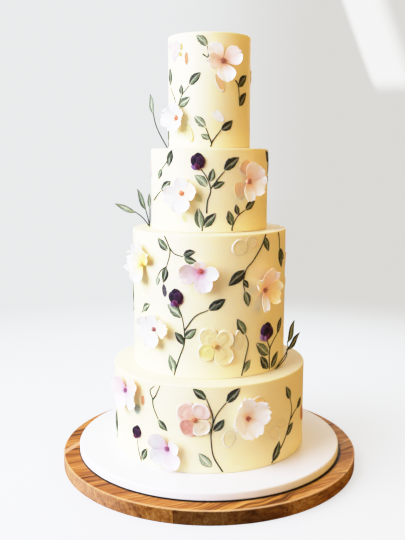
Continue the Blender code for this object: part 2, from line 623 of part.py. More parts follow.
clear_scene()
round_slab("wood_board", BOARD_RADIUS, 0, BOARD_THICKNESS, BOARD_EDGE, "board_wood")
round_slab("cake_drum", DRUM_RADIUS, BOARD_THICKNESS + GAP, DRUM_THICKNESS, DRUM_EDGE, "drum_white")
for tier_number in TIERS:
    build_tier(tier_number)
for flower_name, flower_spec in FLOWERS.items():
    sugar_flower(flower_name, *flower_spec)
for flower_name, flower_spec in RELIEF_FLOWERS.items():
    relief_flower(flower_name, *flower_spec)
for bud_name, bud_spec in BUDS.items():
    pansy_bud(bud_name, *bud_spec)
for spray_name, spray_spec in FREE_SPRIGS.items():
    free_sprig(spray_name, *spray_spec)
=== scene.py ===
# %% [markdown]
# # A wedding cake dressed with painted sprigs and sugar flowers
# The real cake is four iced cylinders on a white drum and a round wooden board. Green sprigs are
# dragged on with a small palette knife, loose petals of icing are spread beside them, and flowers
# of thin sugar petals are set on the wall one by one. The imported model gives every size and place.
# This lesson loads it as a fixed frame, and builds the finished surfaces round it.

# %% Load the frame
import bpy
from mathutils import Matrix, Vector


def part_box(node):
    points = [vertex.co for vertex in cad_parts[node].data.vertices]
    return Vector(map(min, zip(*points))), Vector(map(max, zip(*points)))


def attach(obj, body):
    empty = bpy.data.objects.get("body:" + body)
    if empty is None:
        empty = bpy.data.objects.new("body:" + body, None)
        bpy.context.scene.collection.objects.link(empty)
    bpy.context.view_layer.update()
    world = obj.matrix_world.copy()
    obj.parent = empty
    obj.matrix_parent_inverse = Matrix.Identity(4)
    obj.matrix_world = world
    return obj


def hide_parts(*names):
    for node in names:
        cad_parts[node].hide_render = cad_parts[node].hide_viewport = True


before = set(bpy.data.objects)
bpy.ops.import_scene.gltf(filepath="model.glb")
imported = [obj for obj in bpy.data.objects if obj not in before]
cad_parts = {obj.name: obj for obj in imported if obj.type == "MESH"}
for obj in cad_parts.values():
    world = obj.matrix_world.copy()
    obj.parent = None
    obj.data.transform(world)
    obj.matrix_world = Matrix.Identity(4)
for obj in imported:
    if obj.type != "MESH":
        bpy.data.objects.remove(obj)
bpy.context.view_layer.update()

# %% Tools that the lesson uses
import math
import random

import bmesh
import bpy
from mathutils import Matrix, Vector, noise

MM = 0.001

# %% [markdown]
# ## Where things sit on the cake
# A decorator thinks of each tier as a sheet of paper rolled round it: so far round, so high up, so
# far off the wall. We could place every leaf in world coordinates, but the same sprig would then
# need new numbers on each tier. So the lesson draws everything flat, in millimetres, and rolls it
# round the wall afterwards. Angles are degrees from the front, positive to the right.

# %% Measure the tiers
# A tier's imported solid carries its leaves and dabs, so its box is wider than its wall.
TIER_RADII = {1: 0.129, 2: 0.1015, 3: 0.0765, 4: 0.053}
TIERS = {}
for number, tier_radius in TIER_RADII.items():
    low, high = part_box("tier_%d" % number)
    TIERS[number] = (tier_radius, low.z, high.z - low.z)
    print("tier", number, "is", round((high.z - low.z) / MM), "mm tall")


# %% Roll a flat drawing round a tier
def wall_point(tier, angle, height, lift):
    """A point on a tier's wall, or lifted off it. Height and lift are in metres."""
    radius, foot, _ = TIERS[tier]
    turn = math.radians(angle)
    reach = radius + lift
    return Vector((reach * math.sin(turn), -reach * math.cos(turn), foot + height))


def wrap(verts, tier, angle, height):
    """Bend a flat relief round a tier: x runs along the wall, y up, z off it."""
    radius = TIERS[tier][0]
    for vert in verts:
        turn = angle + math.degrees(vert.co.x / radius)
        vert.co = wall_point(tier, turn, height + vert.co.y, vert.co.z)


def heading_turn(heading):
    """Rotation that lays +X along a compass heading, clockwise from +Y."""
    return Matrix.Rotation(math.radians(90 - heading), 4, "Z")


def facing_out(tier, angle, height, lean_side, lean_up):
    """The place of a flower that faces outwards from the wall, leaning a little."""
    facing = Matrix.Rotation(math.radians(angle), 4, "Z") @ Matrix.Rotation(math.radians(90), 4, "X")
    lean = Matrix.Rotation(math.radians(lean_side), 4, "Y") @ Matrix.Rotation(math.radians(-lean_up), 4, "X")
    return Matrix.Translation(wall_point(tier, angle, height * MM, 0)) @ facing @ lean


# %% [markdown]
# ## Making a piece
# Each finished piece is one mesh whose place is in its points, so that its object can stay at the
# origin. A helper turns a bmesh into such a piece, seats it on the cake's one body, gives it its
# finish, and hides the plain solid that it stands for.

# %% From a bmesh to a piece
def new_piece(name, bm, finish, slot, stands_for=(), closed=True):
    """Put a finished bmesh in the scene, riding on the cake."""
    if closed:
        bmesh.ops.recalc_face_normals(bm, faces=bm.faces)
    mesh = bpy.data.meshes.new(name)
    bm.to_mesh(mesh)
    bm.free()
    mesh.materials.append(finish)
    mesh.shade_smooth()
    piece = bpy.data.objects.new(name, mesh)
    bpy.context.scene.collection.objects.link(piece)
    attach(piece, "root")
    for node in stands_for:
        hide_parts(node)
    print(name, "has", len(mesh.polygons), "faces")
    return piece


# %% [markdown]
# ## Mixing the finishes
# Icing, sugar, wood and paint all vary from place to place, so none of them is a single colour.
# Two small node groups carry what they share: a soft change between two colours, and the fine
# lines that a knife or a scraper drags along a surface. Each finish places them with its own
# values. Colours are written as they look on a screen, and turned into light values here.

# %% Colour and node helpers
def paint(red, green, blue):
    """A colour as it looks on a screen, 0 to 255, turned into the light values a shader wants."""
    shares = [value / 255 for value in (red, green, blue)]
    return tuple(s / 12.92 if s <= 0.04045 else ((s + 0.055) / 1.055) ** 2.4 for s in shares) + (1,)


def add_node(tree, kind, inputs=(), **settings):
    """Add a node, set its options, and link or set its inputs."""
    made = tree.nodes.new("ShaderNode" + kind)
    for option, value in settings.items():
        setattr(made, option, value)
    for label, value in dict(inputs).items():
        if isinstance(value, bpy.types.NodeSocket):
            tree.links.new(value, made.inputs[label])
        else:
            made.inputs[label].default_value = value
    return made


def maths(tree, operation, *values):
    """One sum on sockets or numbers."""
    return add_node(tree, "Math", dict(enumerate(values)), operation=operation).outputs[0]


def times(tree, *values):
    """Two sockets or numbers multiplied."""
    return maths(tree, "MULTIPLY", *values)


def left_over(tree, share):
    """What is left of 1 once a share is taken from it."""
    return maths(tree, "SUBTRACT", 1.0, share)


def smooth(tree, value, low, high):
    """0 below low, 1 above high, and a soft step between."""
    inputs = {"Value": value, "From Min": low, "From Max": high}
    return add_node(tree, "MapRange", inputs, interpolation_type="SMOOTHSTEP").outputs["Result"]


# The colour sockets of a Mix node, which share their names with its other kinds.
MIX_FACTOR, MIX_FIRST, MIX_SECOND, MIX_RESULT = 0, 6, 7, 2


def mixed(tree, share, first, second, blend="MIX"):
    """Two colours mixed by a share."""
    inputs = {MIX_FACTOR: share, MIX_FIRST: first, MIX_SECOND: second}
    return add_node(tree, "Mix", inputs, data_type="RGBA", blend_type=blend).outputs[MIX_RESULT]


def ramp(tree, value, stops):
    """A colour read off a scale of (place, colour) stops."""
    made = add_node(tree, "ValToRGB", {"Fac": value})
    scale = made.color_ramp.elements
    while len(scale) < len(stops):
        scale.new(0.5)
    for mark, (place, colour) in zip(scale, stops):
        mark.position = place
        mark.color = colour
    return made.outputs["Color"]


def stretched(tree, place, scale, turn=0):
    """Coordinates stretched by a scale for each axis, after a turn about Z."""
    inputs = {"Vector": place, "Scale": scale, "Rotation": (0, 0, math.radians(turn))}
    return add_node(tree, "Mapping", inputs).outputs["Vector"]


def noise_at(tree, place, scale, detail=2.0, rough=0.5, warp=0.0):
    """A soft random value, 0 to 1, at a place."""
    inputs = {"Vector": place, "Scale": scale, "Detail": detail, "Roughness": rough, "Distortion": warp}
    return add_node(tree, "TexNoise", inputs).outputs["Fac"]


# %% Two shared node groups
def new_group(name, takes, gives):
    """An empty node group with named inputs and outputs."""
    tree = bpy.data.node_groups.new(name, "ShaderNodeTree")
    for label, kind in takes:
        tree.interface.new_socket(label, in_out="INPUT", socket_type="NodeSocket" + kind)
    for label, kind in gives:
        tree.interface.new_socket(label, in_out="OUTPUT", socket_type="NodeSocket" + kind)
    return tree, tree.nodes.new("NodeGroupInput").outputs, tree.nodes.new("NodeGroupOutput").inputs


def two_tone_group():
    """Patches of a second colour that drift through a first."""
    takes = [("Place", "Vector"), ("Size", "Float"), ("First", "Color"), ("Second", "Color")]
    tree, given, result = new_group("Two tone", takes, [("Colour", "Color"), ("Mask", "Float")])
    broad = noise_at(tree, given["Place"], given["Size"], detail=3, rough=0.55)
    mask = smooth(tree, broad, 0.32, 0.68)
    tree.links.new(mixed(tree, mask, given["First"], given["Second"]), result["Colour"])
    tree.links.new(mask, result["Mask"])
    return tree


def knife_drag_group():
    """Fine lines along a surface: the caller stretches the place along the stroke."""
    takes = [("Place", "Vector"), ("Size", "Float")]
    tree, given, result = new_group("Knife drag", takes, [("Height", "Float"), ("Streak", "Float")])
    lines = noise_at(tree, given["Place"], given["Size"], detail=5, rough=0.62)
    fine = noise_at(tree, given["Place"], times(tree, given["Size"], 3.1), detail=2)
    height = maths(tree, "MULTIPLY_ADD", fine, 0.35, lines)
    tree.links.new(height, result["Height"])
    tree.links.new(smooth(tree, lines, 0.38, 0.64), result["Streak"])
    return tree


TWO_TONE = two_tone_group()
KNIFE_DRAG = knife_drag_group()


# %% Start a finish
def new_finish(name, rough, glow=0.0, glow_depth=0.0, glow_tint=(1.0, 0.6, 0.3), coat=0.0, shine=0.5):
    """A material with its constant values set on the shader. Glow is light that passes inside."""
    made = bpy.data.materials.new(name)
    made.use_nodes = True
    shader = made.node_tree.nodes["Principled BSDF"]
    shader.inputs["Roughness"].default_value = rough
    shader.inputs["Subsurface Weight"].default_value = glow
    shader.inputs["Subsurface Scale"].default_value = glow_depth
    shader.inputs["Subsurface Radius"].default_value = glow_tint
    shader.inputs["Coat Weight"].default_value = coat
    shader.inputs["Specular IOR Level"].default_value = shine
    return made, made.node_tree, shader


def object_place(tree):
    """Coordinates fixed to the piece."""
    return add_node(tree, "TexCoord").outputs["Object"]


def use_group(tree, group, **inputs):
    """Place a shared group with this finish's own values."""
    return add_node(tree, "Group", inputs, node_tree=group).outputs


def add_bumps(tree, shader, *heights):
    """Stack bumps on a shader: each is a height socket and how far it reaches, in metres."""
    normal = None
    for height, distance in heights:
        inputs = {"Height": height, "Distance": distance, "Strength": 1.0}
        if normal is not None:
            inputs["Normal"] = normal
        normal = add_node(tree, "Bump", inputs).outputs["Normal"]
    tree.links.new(normal, shader.inputs["Normal"])


# %% [markdown]
# ## Buttercream
# The tiers are crumb-coated and scraped smooth with a tall metal scraper while the cake turns. That
# leaves faint level lines, a few pinholes, and a satin skin that lets a little light in and gives it
# back warmer. Level lines come from noise that is squeezed along Z. Light inside the icing comes
# from the shader's subsurface.

# %% The buttercream finish
ICING, ICING_DRIFT, ICING_STREAK = paint(251, 237, 191), paint(250, 234, 182), paint(252, 239, 202)
LEVEL_LINES = (5, 5, 190)
PINHOLES = 130.0
PINHOLE_SIZE = 0.11


def buttercream():
    """Satin icing with level scraper lines and a few pinholes."""
    made, tree, shader = new_finish("Buttercream", 0.5, 0.35, 12 * MM, (1.0, 0.62, 0.22))
    place = object_place(tree)
    tones = use_group(tree, TWO_TONE, Place=place, Size=16, First=ICING, Second=ICING_DRIFT)
    drag = use_group(tree, KNIFE_DRAG, Place=stretched(tree, place, LEVEL_LINES), Size=1.0)
    pinholes = add_node(tree, "TexVoronoi", {"Vector": place, "Scale": PINHOLES}).outputs["Distance"]
    holes = smooth(tree, pinholes, 0.0, PINHOLE_SIZE)
    colour = mixed(tree, times(tree, drag["Streak"], 0.2), tones["Colour"], ICING_STREAK)
    tree.links.new(colour, shader.inputs["Base Color"])
    sheen = maths(tree, "MULTIPLY_ADD", drag["Streak"], 0.1, 0.44)
    tree.links.new(sheen, shader.inputs["Roughness"])
    add_bumps(tree, shader, (drag["Height"], 0.3 * MM), (holes, 0.12 * MM))
    return made


# %% The drum's white icing
DRUM_WHITE, DRUM_DRIFT = paint(248, 248, 247), paint(243, 242, 240)


def drum_icing():
    """Smooth white sugar paste with a hint of polish."""
    made, tree, shader = new_finish("White icing", 0.42, 0.15, 4 * MM, (1.0, 0.9, 0.8), coat=0.1)
    place = object_place(tree)
    tones = use_group(tree, TWO_TONE, Place=place, Size=11, First=DRUM_WHITE, Second=DRUM_DRIFT)
    tree.links.new(tones["Colour"], shader.inputs["Base Color"])
    fine = noise_at(tree, place, 420.0, detail=3)
    add_bumps(tree, shader, (tones["Mask"], 0.4 * MM), (fine, 0.12 * MM))
    return made


# %% [markdown]
# ## The wooden board
# The board is glued up from two planks of a figured hardwood, oiled. The grain runs slantwise under
# the cake, with dark wandering veins, honey bands and a strip of cream sapwood. A wood picture
# would do, but then the end of a band would not carry on down the edge. So the grain is a solid
# pattern: noise stretched along the grain, bent by a slower noise, and read off a scale of wood
# colours.

# %% The oiled wood finish
GRAIN_TURN = -30
# A joint or strip passes through a point of the board, x and y, in a direction.
JOINT = (179.7 * MM, -8.7 * MM, 40)
JOINT_WIDTH = 3 * MM
SAPWOOD = (-187 * MM, -21 * MM, 64)
SAPWOOD_WIDTH = 8 * MM
# Under the drum's rim a painted shadow lies on the wood: a dark ring, a little wider at the front and right.
DRUM_SHADOW_MIDDLE = (1.4 * MM, -1.3 * MM)
DRUM_SHADOW_FADE = (178.6 * MM, 181.2 * MM)
# The plank in front of the joint is cut from another part of the tree, so its grain differs.
PLANK_SHIFT = 0.37
GRAIN_WANDER = 0.06
# The top edge carries a pale painted highlight: where it fades in, outwards and upwards.
RIM_HIGHLIGHT_FADE = (197.5 * MM, 199 * MM)
TOP_EDGE = (16.6 * MM, 18 * MM)
# Where changes from left to right across the board begin and end.
FRONT_FADE, JOINT_FADE = (30 * MM, 110 * MM), (0, 150 * MM)
LEFT_END_LIGHT_FADE, LEFT_FADE, VEIN_FADE = (70 * MM, 160 * MM), (-100 * MM, 40 * MM), (-20 * MM, 120 * MM)
WOOD_TONES = [(0.32, paint(52, 26, 8)), (0.39, paint(116, 68, 24)), (0.46, paint(172, 110, 42)),
              (0.54, paint(204, 142, 60)), (0.63, paint(224, 172, 92)), (0.74, paint(176, 114, 48))]
# Of the colours here, the dark side colour is painted shade and the pale left-end colour is painted light.
# Of the colours here, the pale rim colour is a painted highlight.
PAINTED_SIDE_SHADE, PAINTED_LEFT_END_LIGHT, PAINTED_RIM_HIGHLIGHT = paint(62, 34, 12), paint(226, 196, 156), paint(238, 204, 150)
# The near-black colour here is the painted shadow under the drum's edge.
CREAM_WOOD, PAINTED_DRUM_SHADOW, VEIN = paint(236, 190, 140), paint(22, 11, 4), paint(70, 34, 10)
PORE_SHADE, LEFT_SHADE = paint(214, 196, 176), paint(202, 168, 156)


def beside_line(tree, place, line):
    """Distance from a straight line across the board, above 0 on its left."""
    x, y, direction = line
    way = math.radians(direction)
    middle = y * math.cos(way) - x * math.sin(way)
    along_line = stretched(tree, place, (1, 1, 1), turn=-direction)
    beside = add_node(tree, "SeparateXYZ", {"Vector": along_line}).outputs["Y"]
    return maths(tree, "SUBTRACT", beside, middle)


def from_middle(tree, place, middle):
    """Distance from an upright axis, whatever the height."""
    flat = add_node(tree, "VectorMath", {0: place, 1: (1, 1, 0)}, operation="MULTIPLY").outputs["Vector"]
    return add_node(tree, "VectorMath", {0: flat, 1: middle + (0,)}, operation="DISTANCE").outputs["Value"]


def within(tree, distance, width):
    """1 inside a strip, from the distance to its middle."""
    away = maths(tree, "ABSOLUTE", distance)
    return left_over(tree, smooth(tree, away, width * 0.4, width * 0.6))


def moved(tree, place, share, distance):
    """Coordinates moved along Y by a share of a distance."""
    shift = add_node(tree, "CombineXYZ", {"Y": times(tree, share, distance)}).outputs["Vector"]
    return add_node(tree, "VectorMath", {0: place, 1: shift}, operation="ADD").outputs["Vector"]


def wood_grain(tree, place, front_plank):
    """The figure that the wood's colours follow, its fine lines and its pores."""
    along = stretched(tree, moved(tree, place, front_plank, PLANK_SHIFT), (1, 1, 1), turn=GRAIN_TURN)
    bent = moved(tree, along, noise_at(tree, along, 7.0, detail=3), GRAIN_WANDER)
    bands = noise_at(tree, stretched(tree, bent, (3, 38, 22)), 1.5, detail=8, rough=0.62, warp=0.6)
    lines = noise_at(tree, stretched(tree, bent, (8, 240, 110)), 1.0, detail=5, rough=0.6)
    pores = noise_at(tree, stretched(tree, bent, (40, 800, 300)), 1.0, detail=3)
    figure = maths(tree, "MULTIPLY_ADD", lines, 0.46, maths(tree, "MULTIPLY_ADD", bands, 0.8, -0.11))
    return figure, lines, pores


def board_side(tree, wood, spot, front_plank):
    """The board's side, darkened by painted shade most of all in front, and paled by painted light at the
    left end.
    """
    on_side = left_over(tree, smooth(tree, spot["Z"], *TOP_EDGE))
    in_front = times(tree, front_plank, left_over(tree, smooth(tree, spot["X"], *FRONT_FADE)))
    left_end = smooth(tree, times(tree, spot["X"], -1.0), *LEFT_END_LIGHT_FADE)
    # Painted shade darkens the side, most of all in front, and painted light pales its left end.
    side_shade = times(tree, on_side, maths(tree, "MULTIPLY_ADD", in_front, 0.40, 0.38))
    wood = mixed(tree, times(tree, side_shade, left_over(tree, left_end)), wood, PAINTED_SIDE_SHADE)
    left_end_light = times(tree, on_side, left_end)
    return mixed(tree, times(tree, left_end_light, 0.6), wood, PAINTED_LEFT_END_LIGHT)


def board_marks(tree, wood, place, spot, plank):
    """The pale joint and sapwood, a painted highlight on the top rim, and a painted shadow under the drum's
    edge.
    """
    joint = times(tree, within(tree, plank, JOINT_WIDTH), smooth(tree, spot["X"], *JOINT_FADE))
    sapwood = within(tree, beside_line(tree, place, SAPWOOD), SAPWOOD_WIDTH)
    pale = maths(tree, "MAXIMUM", joint, sapwood)
    wood = mixed(tree, times(tree, pale, 0.8), wood, CREAM_WOOD)
    # A painted highlight pales the rounded top edge all round.
    rim = smooth(tree, from_middle(tree, place, (0, 0)), *RIM_HIGHLIGHT_FADE)
    rim_highlight = times(tree, rim, smooth(tree, spot["Z"], *TOP_EDGE))
    wood = mixed(tree, times(tree, rim_highlight, 0.55), wood, PAINTED_RIM_HIGHLIGHT)
    # A painted shadow: a near-black ring on the wood just outside the drum's edge.
    clear = smooth(tree, from_middle(tree, place, DRUM_SHADOW_MIDDLE), *DRUM_SHADOW_FADE)
    return mixed(tree, clear, PAINTED_DRUM_SHADOW, wood)


def left_and_right(tree, wood, spot, lines):
    """Redder wood at the left of the board, and dark veins at its right."""
    on_left = left_over(tree, smooth(tree, spot["X"], *LEFT_FADE))
    redder = mixed(tree, 1.0, wood, LEFT_SHADE, "MULTIPLY")
    wood = mixed(tree, times(tree, on_left, 0.5), wood, redder)
    veins = times(tree, smooth(tree, lines, 0.56, 0.64), smooth(tree, spot["X"], *VEIN_FADE))
    return mixed(tree, times(tree, veins, 0.7), wood, VEIN)


def oiled_wood():
    """Figured hardwood in two planks, oiled, with a painted highlight round the rim."""
    made, tree, shader = new_finish("Oiled board", 0.62, shine=0.07)
    place = object_place(tree)
    spot = add_node(tree, "SeparateXYZ", {"Vector": place}).outputs
    plank = beside_line(tree, place, JOINT)
    front_plank = maths(tree, "LESS_THAN", plank, 0.0)
    figure, lines, pores = wood_grain(tree, place, front_plank)
    wood = board_side(tree, ramp(tree, figure, WOOD_TONES), spot, front_plank)
    shade = mixed(tree, smooth(tree, pores, 0.36, 0.6), PORE_SHADE, (1, 1, 1, 1))
    wood = mixed(tree, 1.0, wood, shade, "MULTIPLY")
    wood = board_marks(tree, wood, place, spot, plank)
    wood = left_and_right(tree, wood, spot, lines)
    tree.links.new(wood, shader.inputs["Base Color"])
    tree.links.new(maths(tree, "MULTIPLY_ADD", pores, -0.2, 0.5), shader.inputs["Roughness"])
    add_bumps(tree, shader, (figure, 0.6 * MM), (pores, 0.3 * MM))
    return made


# %% [markdown]
# ## Boards and tiers are turned
# A board, a drum and an iced tier are all round, so each is a half outline spun about the middle.
# A cylinder primitive could be bevelled instead, but an outline lets the rim have its own
# roundness and puts rows of points up the wall, which can then be pushed in and out by a hair to
# show that a hand smoothed the icing.

# %% Spin an outline
def arc(centre_radius, centre_height, size, start, end, steps=5):
    """Points of a quarter round on a half outline, from one angle to another, in degrees."""
    turns = [math.radians(start + (end - start) * step / steps) for step in range(steps + 1)]
    return [(centre_radius + size * math.cos(turn), centre_height + size * math.sin(turn)) for turn in turns]


# Rings of points on a slab's top, as shares of its radius.
TOP_RINGS = (0.9, 0.8, 0.7, 0.55, 0.35)


def slab_outline(radius, foot, top, low_edge, high_edge, rows):
    """Half outline of a round slab with softened edges and rows of points up its wall."""
    outline = [(0, foot), (radius / 2, foot)]
    outline += arc(radius - low_edge, foot + low_edge, low_edge, -90, 0)
    start, end = foot + low_edge, top - high_edge
    outline += [(radius, start + (end - start) * row / rows) for row in range(1, rows)]
    outline += arc(radius - high_edge, end, high_edge, 0, 90)
    return outline + [(radius * share, top) for share in TOP_RINGS] + [(0, top)]


def turned(outline, steps):
    """Spin a half outline round the upright axis into a closed solid."""
    bm = bmesh.new()
    verts = [bm.verts.new((radius, 0, height)) for radius, height in outline]
    edges = [bm.edges.new(pair) for pair in zip(verts, verts[1:])]
    bmesh.ops.spin(bm, geom=verts + edges, cent=(0, 0, 0), axis=(0, 0, 1), angle=2 * math.pi,
                   steps=steps, use_merge=True)
    bmesh.ops.remove_doubles(bm, verts=bm.verts, dist=MM / 100)
    return bm


# %% Turn the two boards
BOARD_STEPS = 256
# How far the low and the high edge are rounded, and rows of points up the wall.
BOARD_EDGES = {"wood_board": (1.2 * MM, 1.8 * MM, 4), "cake_drum": (1.2 * MM, 2.4 * MM, 3)}
BOARD_FINISHES = {"wood_board": (oiled_wood(), "board_wood"), "cake_drum": (drum_icing(), "drum_icing")}
for node, (low_edge, high_edge, rows) in BOARD_EDGES.items():
    low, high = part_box(node)
    bm = turned(slab_outline(high.x, low.z, high.z, low_edge, high_edge, rows), BOARD_STEPS)
    new_piece("turned_" + node, bm, *BOARD_FINISHES[node], stands_for=[node])

# %% Turn and smooth the four tiers
TIER_STEPS = 224
ROW_HEIGHT = 2.5 * MM
TIER_EDGE = 1.5 * MM
WALL_WAVER = 0.25 * MM
WAVER_RATE = 18
SCRAPER_MARK = 0.10 * MM
MARK_RATES = Vector((6, 6, 260))
BUTTERCREAM = buttercream()


def hand_smoothed(bm, radius):
    """Push the wall in and out a little, as a scraper held by hand leaves it."""
    for vert in bm.verts:
        out = Vector((vert.co.x, vert.co.y, 0))
        if out.length > radius * 0.97:
            slow = noise.noise(vert.co * WAVER_RATE)
            level = noise.noise(vert.co * MARK_RATES)
            vert.co += out.normalized() * (slow * WALL_WAVER + level * SCRAPER_MARK)


for number, (radius, foot, height) in TIERS.items():
    rows = round(height / ROW_HEIGHT)
    bm = turned(slab_outline(radius, foot, foot + height, TIER_EDGE / 3, TIER_EDGE, rows), TIER_STEPS)
    hand_smoothed(bm, radius)
    new_piece("icing_%d" % number, bm, BUTTERCREAM, "cake_icing", stands_for=["tier_%d" % number])

# %% [markdown]
# ## The sprigs
# A sprig is painted in two goes: a thin stem, then leaves pressed on with the knife's tip. The same
# few sprigs come back round the cake, some turned over, so each is drawn once as stems through
# points and leaves from base to tip. The last number of a leaf says how pale its paint is.

# %% Draw the sprigs
# Stems are lists of x, y in millimetres; leaves are base x, y, tip x, y and paleness.
SPRIGS = {
    "low_fork": (
        [[(0, 0), (1, 4), (-2, 13), (-6, 23)], [(1, 4), (5, 10), (13, 20)]],
        [(-6, 23, -22, 38, 0.72), (-1, 9, -13, 15, 0.66), (13, 20, 30, 33, 0.05)]),
    "trio": (
        [[(0, 0), (6, 13), (18, 25)]],
        [(18, 25, 34, 41, 0.38), (6, 14, 6, 28, 0.3), (0, 0, 21, 12, 0.62)]),
    "tip": ([[(0, 0), (1, 9), (0, 18)], [(-6, 9), (-3, 7), (0, 5)]], [(0, 18, -15, 32, 0.66)]),
    "side_bud": ([[(0, 0), (-2, 10), (-13, 24)]], [(-14, 26, -16, 50, 0.3)]),
    "drop_pair": (
        [[(0, 0), (5, -8), (7, -31)]],
        [(5, -8, 23, 8, 0.12), (7, -31, 22, -13, 0.05)]),
    "single": ([[(0, 0), (0, 6)]], [(0, 5, 1, 23, 0.5)]),
    "hanging": (
        [[(0, 0), (-10, -15), (-19, -23)]],
        [(-1, 0, -7, -22, 0.3), (-19, -23, -28, -37, 0.5)]),
    "arm": ([[(0, 0), (16, 10), (21, 13)]], [(21, 13, 41, 26, 0.36)]),
    "bud_stem": (
        [[(0, 0), (1, 14), (5, 28), (1, 42), (-7, 54)], [(5, 30), (14, 42), (22, 51)]],
        [(1, 32, -16, 47, 0.78), (4, 38, 8, 55, 0.4), (8, 30, 23, 38, 0.3), (21, 52, 42, 68, 0.1)]),
    "foot_pair": ([[(1, 0), (2, 5)]], [(0, 2, -4, 30, 0.62), (3, 4, 19, 23, 0.28)]),
    "right_rise": (
        [[(0, 0), (1, 6), (8, 18), (19, 25)]],
        [(0, 6, -5, 26, 0.34), (9, 19, 5, 33, 0.2), (19, 25, 37, 36, 0.16)]),
    "top_trail": (
        [[(0, -2), (7, -16), (7, -26), (2, -41)], [(7, -16), (14, -23), (25, -26)],
         [(2, -40), (-6, -45), (-11, -52)]],
        [(25, -25, 42, -19, 0.12), (26, -27, 44, -32, 0.42), (5, -20, -11, -4, 0.42),
         (2, -40, -3, -61, 0.24), (-11, -52, -13, -65, 0.85)]),
    "long_trail": (
        [[(0, -1), (-7, -15), (-21, -33), (-30, -42), (-34, -58), (-32, -69)]],
        [(-2, -4, 6, -23, 0.34), (-31, -43, -54, -62, 0.1), (-34, -55, -27, -66, 0.15),
         (-32, -69, -27, -90, 0.52)]),
    "edge_trail": (
        [[(0, -1), (3, -12), (4, -22)]],
        [(4, -22, 13, -48, 0.2), (4, -22, 24, -38, 0.36)]),
    "tall": (
        [[(0, 0), (7, 22), (14, 42), (14, 59), (11, 76), (6, 88)], [(14, 58), (28, 77), (44, 85)]],
        [(44, 85, 66, 99, 0.08), (11, 74, -10, 90, 0.64), (14, 48, 30, 62, 0.48),
         (14, 40, 1, 56, 0.2), (0, 2, -7, 27, 0.7)]),
    "small_pair": (
        [[(0, 0), (5, 22), (9, 40), (5, 52)]],
        [(5, 52, -7, 74, 0.48), (2, 3, 13, 20, 0.55)]),
    "bushy": (
        [[(0, 0), (0, 25), (7, 35), (19, 44)], [(1, 27), (-4, 36), (-5, 42)]],
        [(19, 43, 34, 63, 0.14), (-1, 20, -26, 40, 0.6), (-2, 1, -18, 22, 0.14), (3, 1, 22, 20, 0.22)]),
    "drooping": (
        [[(0, 0), (1, -10), (8, -25)], [(0, -1), (5, 6), (11, 19)], [(0, 0), (-4, 10), (3, 17)]],
        [(8, -25, 21, -38, 0.44)]),
    "bud_foot": ([[(0, 0), (-5, 13), (-7, 26)]], [(1, 1, 11, 20, 0.38)]),
    "rise_fork": (
        [[(0, 0), (-11, 19), (-14, 37), (-14, 52), (-9, 70), (-2, 81), (4, 88)],
         [(-12, 60), (-13, 74), (-20, 93)]],
        [(-20, 92, -37, 106, 0.3), (4, 87, 22, 106, 0.1), (-12, 52, 2, 68, 0.16),
         (-14, 50, -22, 61, 0.45), (-13, 6, -30, 25, 0.86)]),
    "right_reach": (
        [[(0, 0), (22, 22), (34, 43), (40, 59), (36, 76)], [(36, 47), (46, 54), (57, 58)]],
        [(36, 75, 25, 95, 0.38), (56, 57, 73, 68, 0.12), (29, 28, 45, 42, 0.2), (2, 1, 14, 27, 0.26)]),
    "lone_leaf": ([[(0, 0), (4, 3)]], [(3, 2, 20, 14, 0.62)]),
    "edge_leaf": ([[(0, 0), (1, 8)]], [(1, 7, 2, 42, 0.4)]),
}

# Where each sprig grows: tier, sprig, angle, height, and 1 or -1 for as drawn or turned over.
SPRIG_PLACES = (
    (4, "low_fork", 1, 2, 1), (4, "trio", -48, 51, 1), (4, "tip", -3, 104, 1),
    (4, "side_bud", -54, 52, 1), (4, "drop_pair", 37, 83, 1), (4, "single", -84, 3, 1),
    (3, "hanging", -37, 101, 1), (3, "arm", -69, 37, 1), (3, "bud_stem", -3, 24, 1),
    (3, "foot_pair", -8, 2, 1), (3, "right_rise", 21, 2, 1), (3, "edge_leaf", 86, 60, 1),
    (2, "top_trail", -33, 178, 1), (2, "long_trail", 43, 178, 1), (2, "edge_trail", 59, 178, 1),
    (2, "tall", -26, 2, 1), (2, "small_pair", 23, 2, 1), (2, "bushy", 49, 2, 1),
    (2, "lone_leaf", -59, 74, 1), (2, "edge_leaf", -86, 66, 1),
    (1, "drooping", -33, 88, 1), (1, "bud_foot", -42, 2, 1), (1, "rise_fork", 7, 2, 1),
    (1, "right_reach", 37, 2, 1), (1, "edge_leaf", -74, 8, 1),
    (4, "bud_stem", 128, 30, -1), (4, "trio", 176, 66, 1), (4, "low_fork", -146, 2, -1),
    (3, "tall", 118, 2, -1), (3, "right_rise", -164, 2, 1), (3, "hanging", -112, 101, -1),
    (2, "rise_fork", 112, 2, 1), (2, "long_trail", 140, 178, -1), (2, "tall", 175, 2, -1),
    (2, "bushy", -138, 2, 1), (2, "right_reach", -110, 60, -1),
    (1, "small_pair", 94, 2, -1), (1, "right_reach", 114, 2, 1), (1, "rise_fork", -176, 2, -1),
    (1, "bud_foot", -146, 2, -1), (1, "small_pair", -99, 2, 1),
)

# %% [markdown]
# ## Stems
# A stem is a thin bead of dark green icing, half sunk in the wall and thinner towards its end. It
# is a round bar that grows along a smooth curve: the end face is extruded, moved to the next point
# and turned to face along the curve. A curve object would be quicker to place, but only a mesh can
# be rolled round the wall.

# %% Grow a bar along a curve
STEM_RADIUS = 0.95 * MM
STEM_TAPER = 0.35
CURVE_STEPS = 6


def smooth_path(points, steps):
    """Points along a smooth curve through the given ones."""
    ends = [points[0] * 2 - points[1]] + list(points) + [points[-1] * 2 - points[-2]]
    path = []
    for before, start, end, after in zip(ends, ends[1:], ends[2:], ends[3:]):
        for step in range(steps):
            t = step / steps
            pull = (end - before) * t + (2 * before - 5 * start + 4 * end - after) * t * t
            path.append(start + 0.5 * (pull + (3 * start - before - 3 * end + after) * t ** 3))
    return path + [points[-1]]


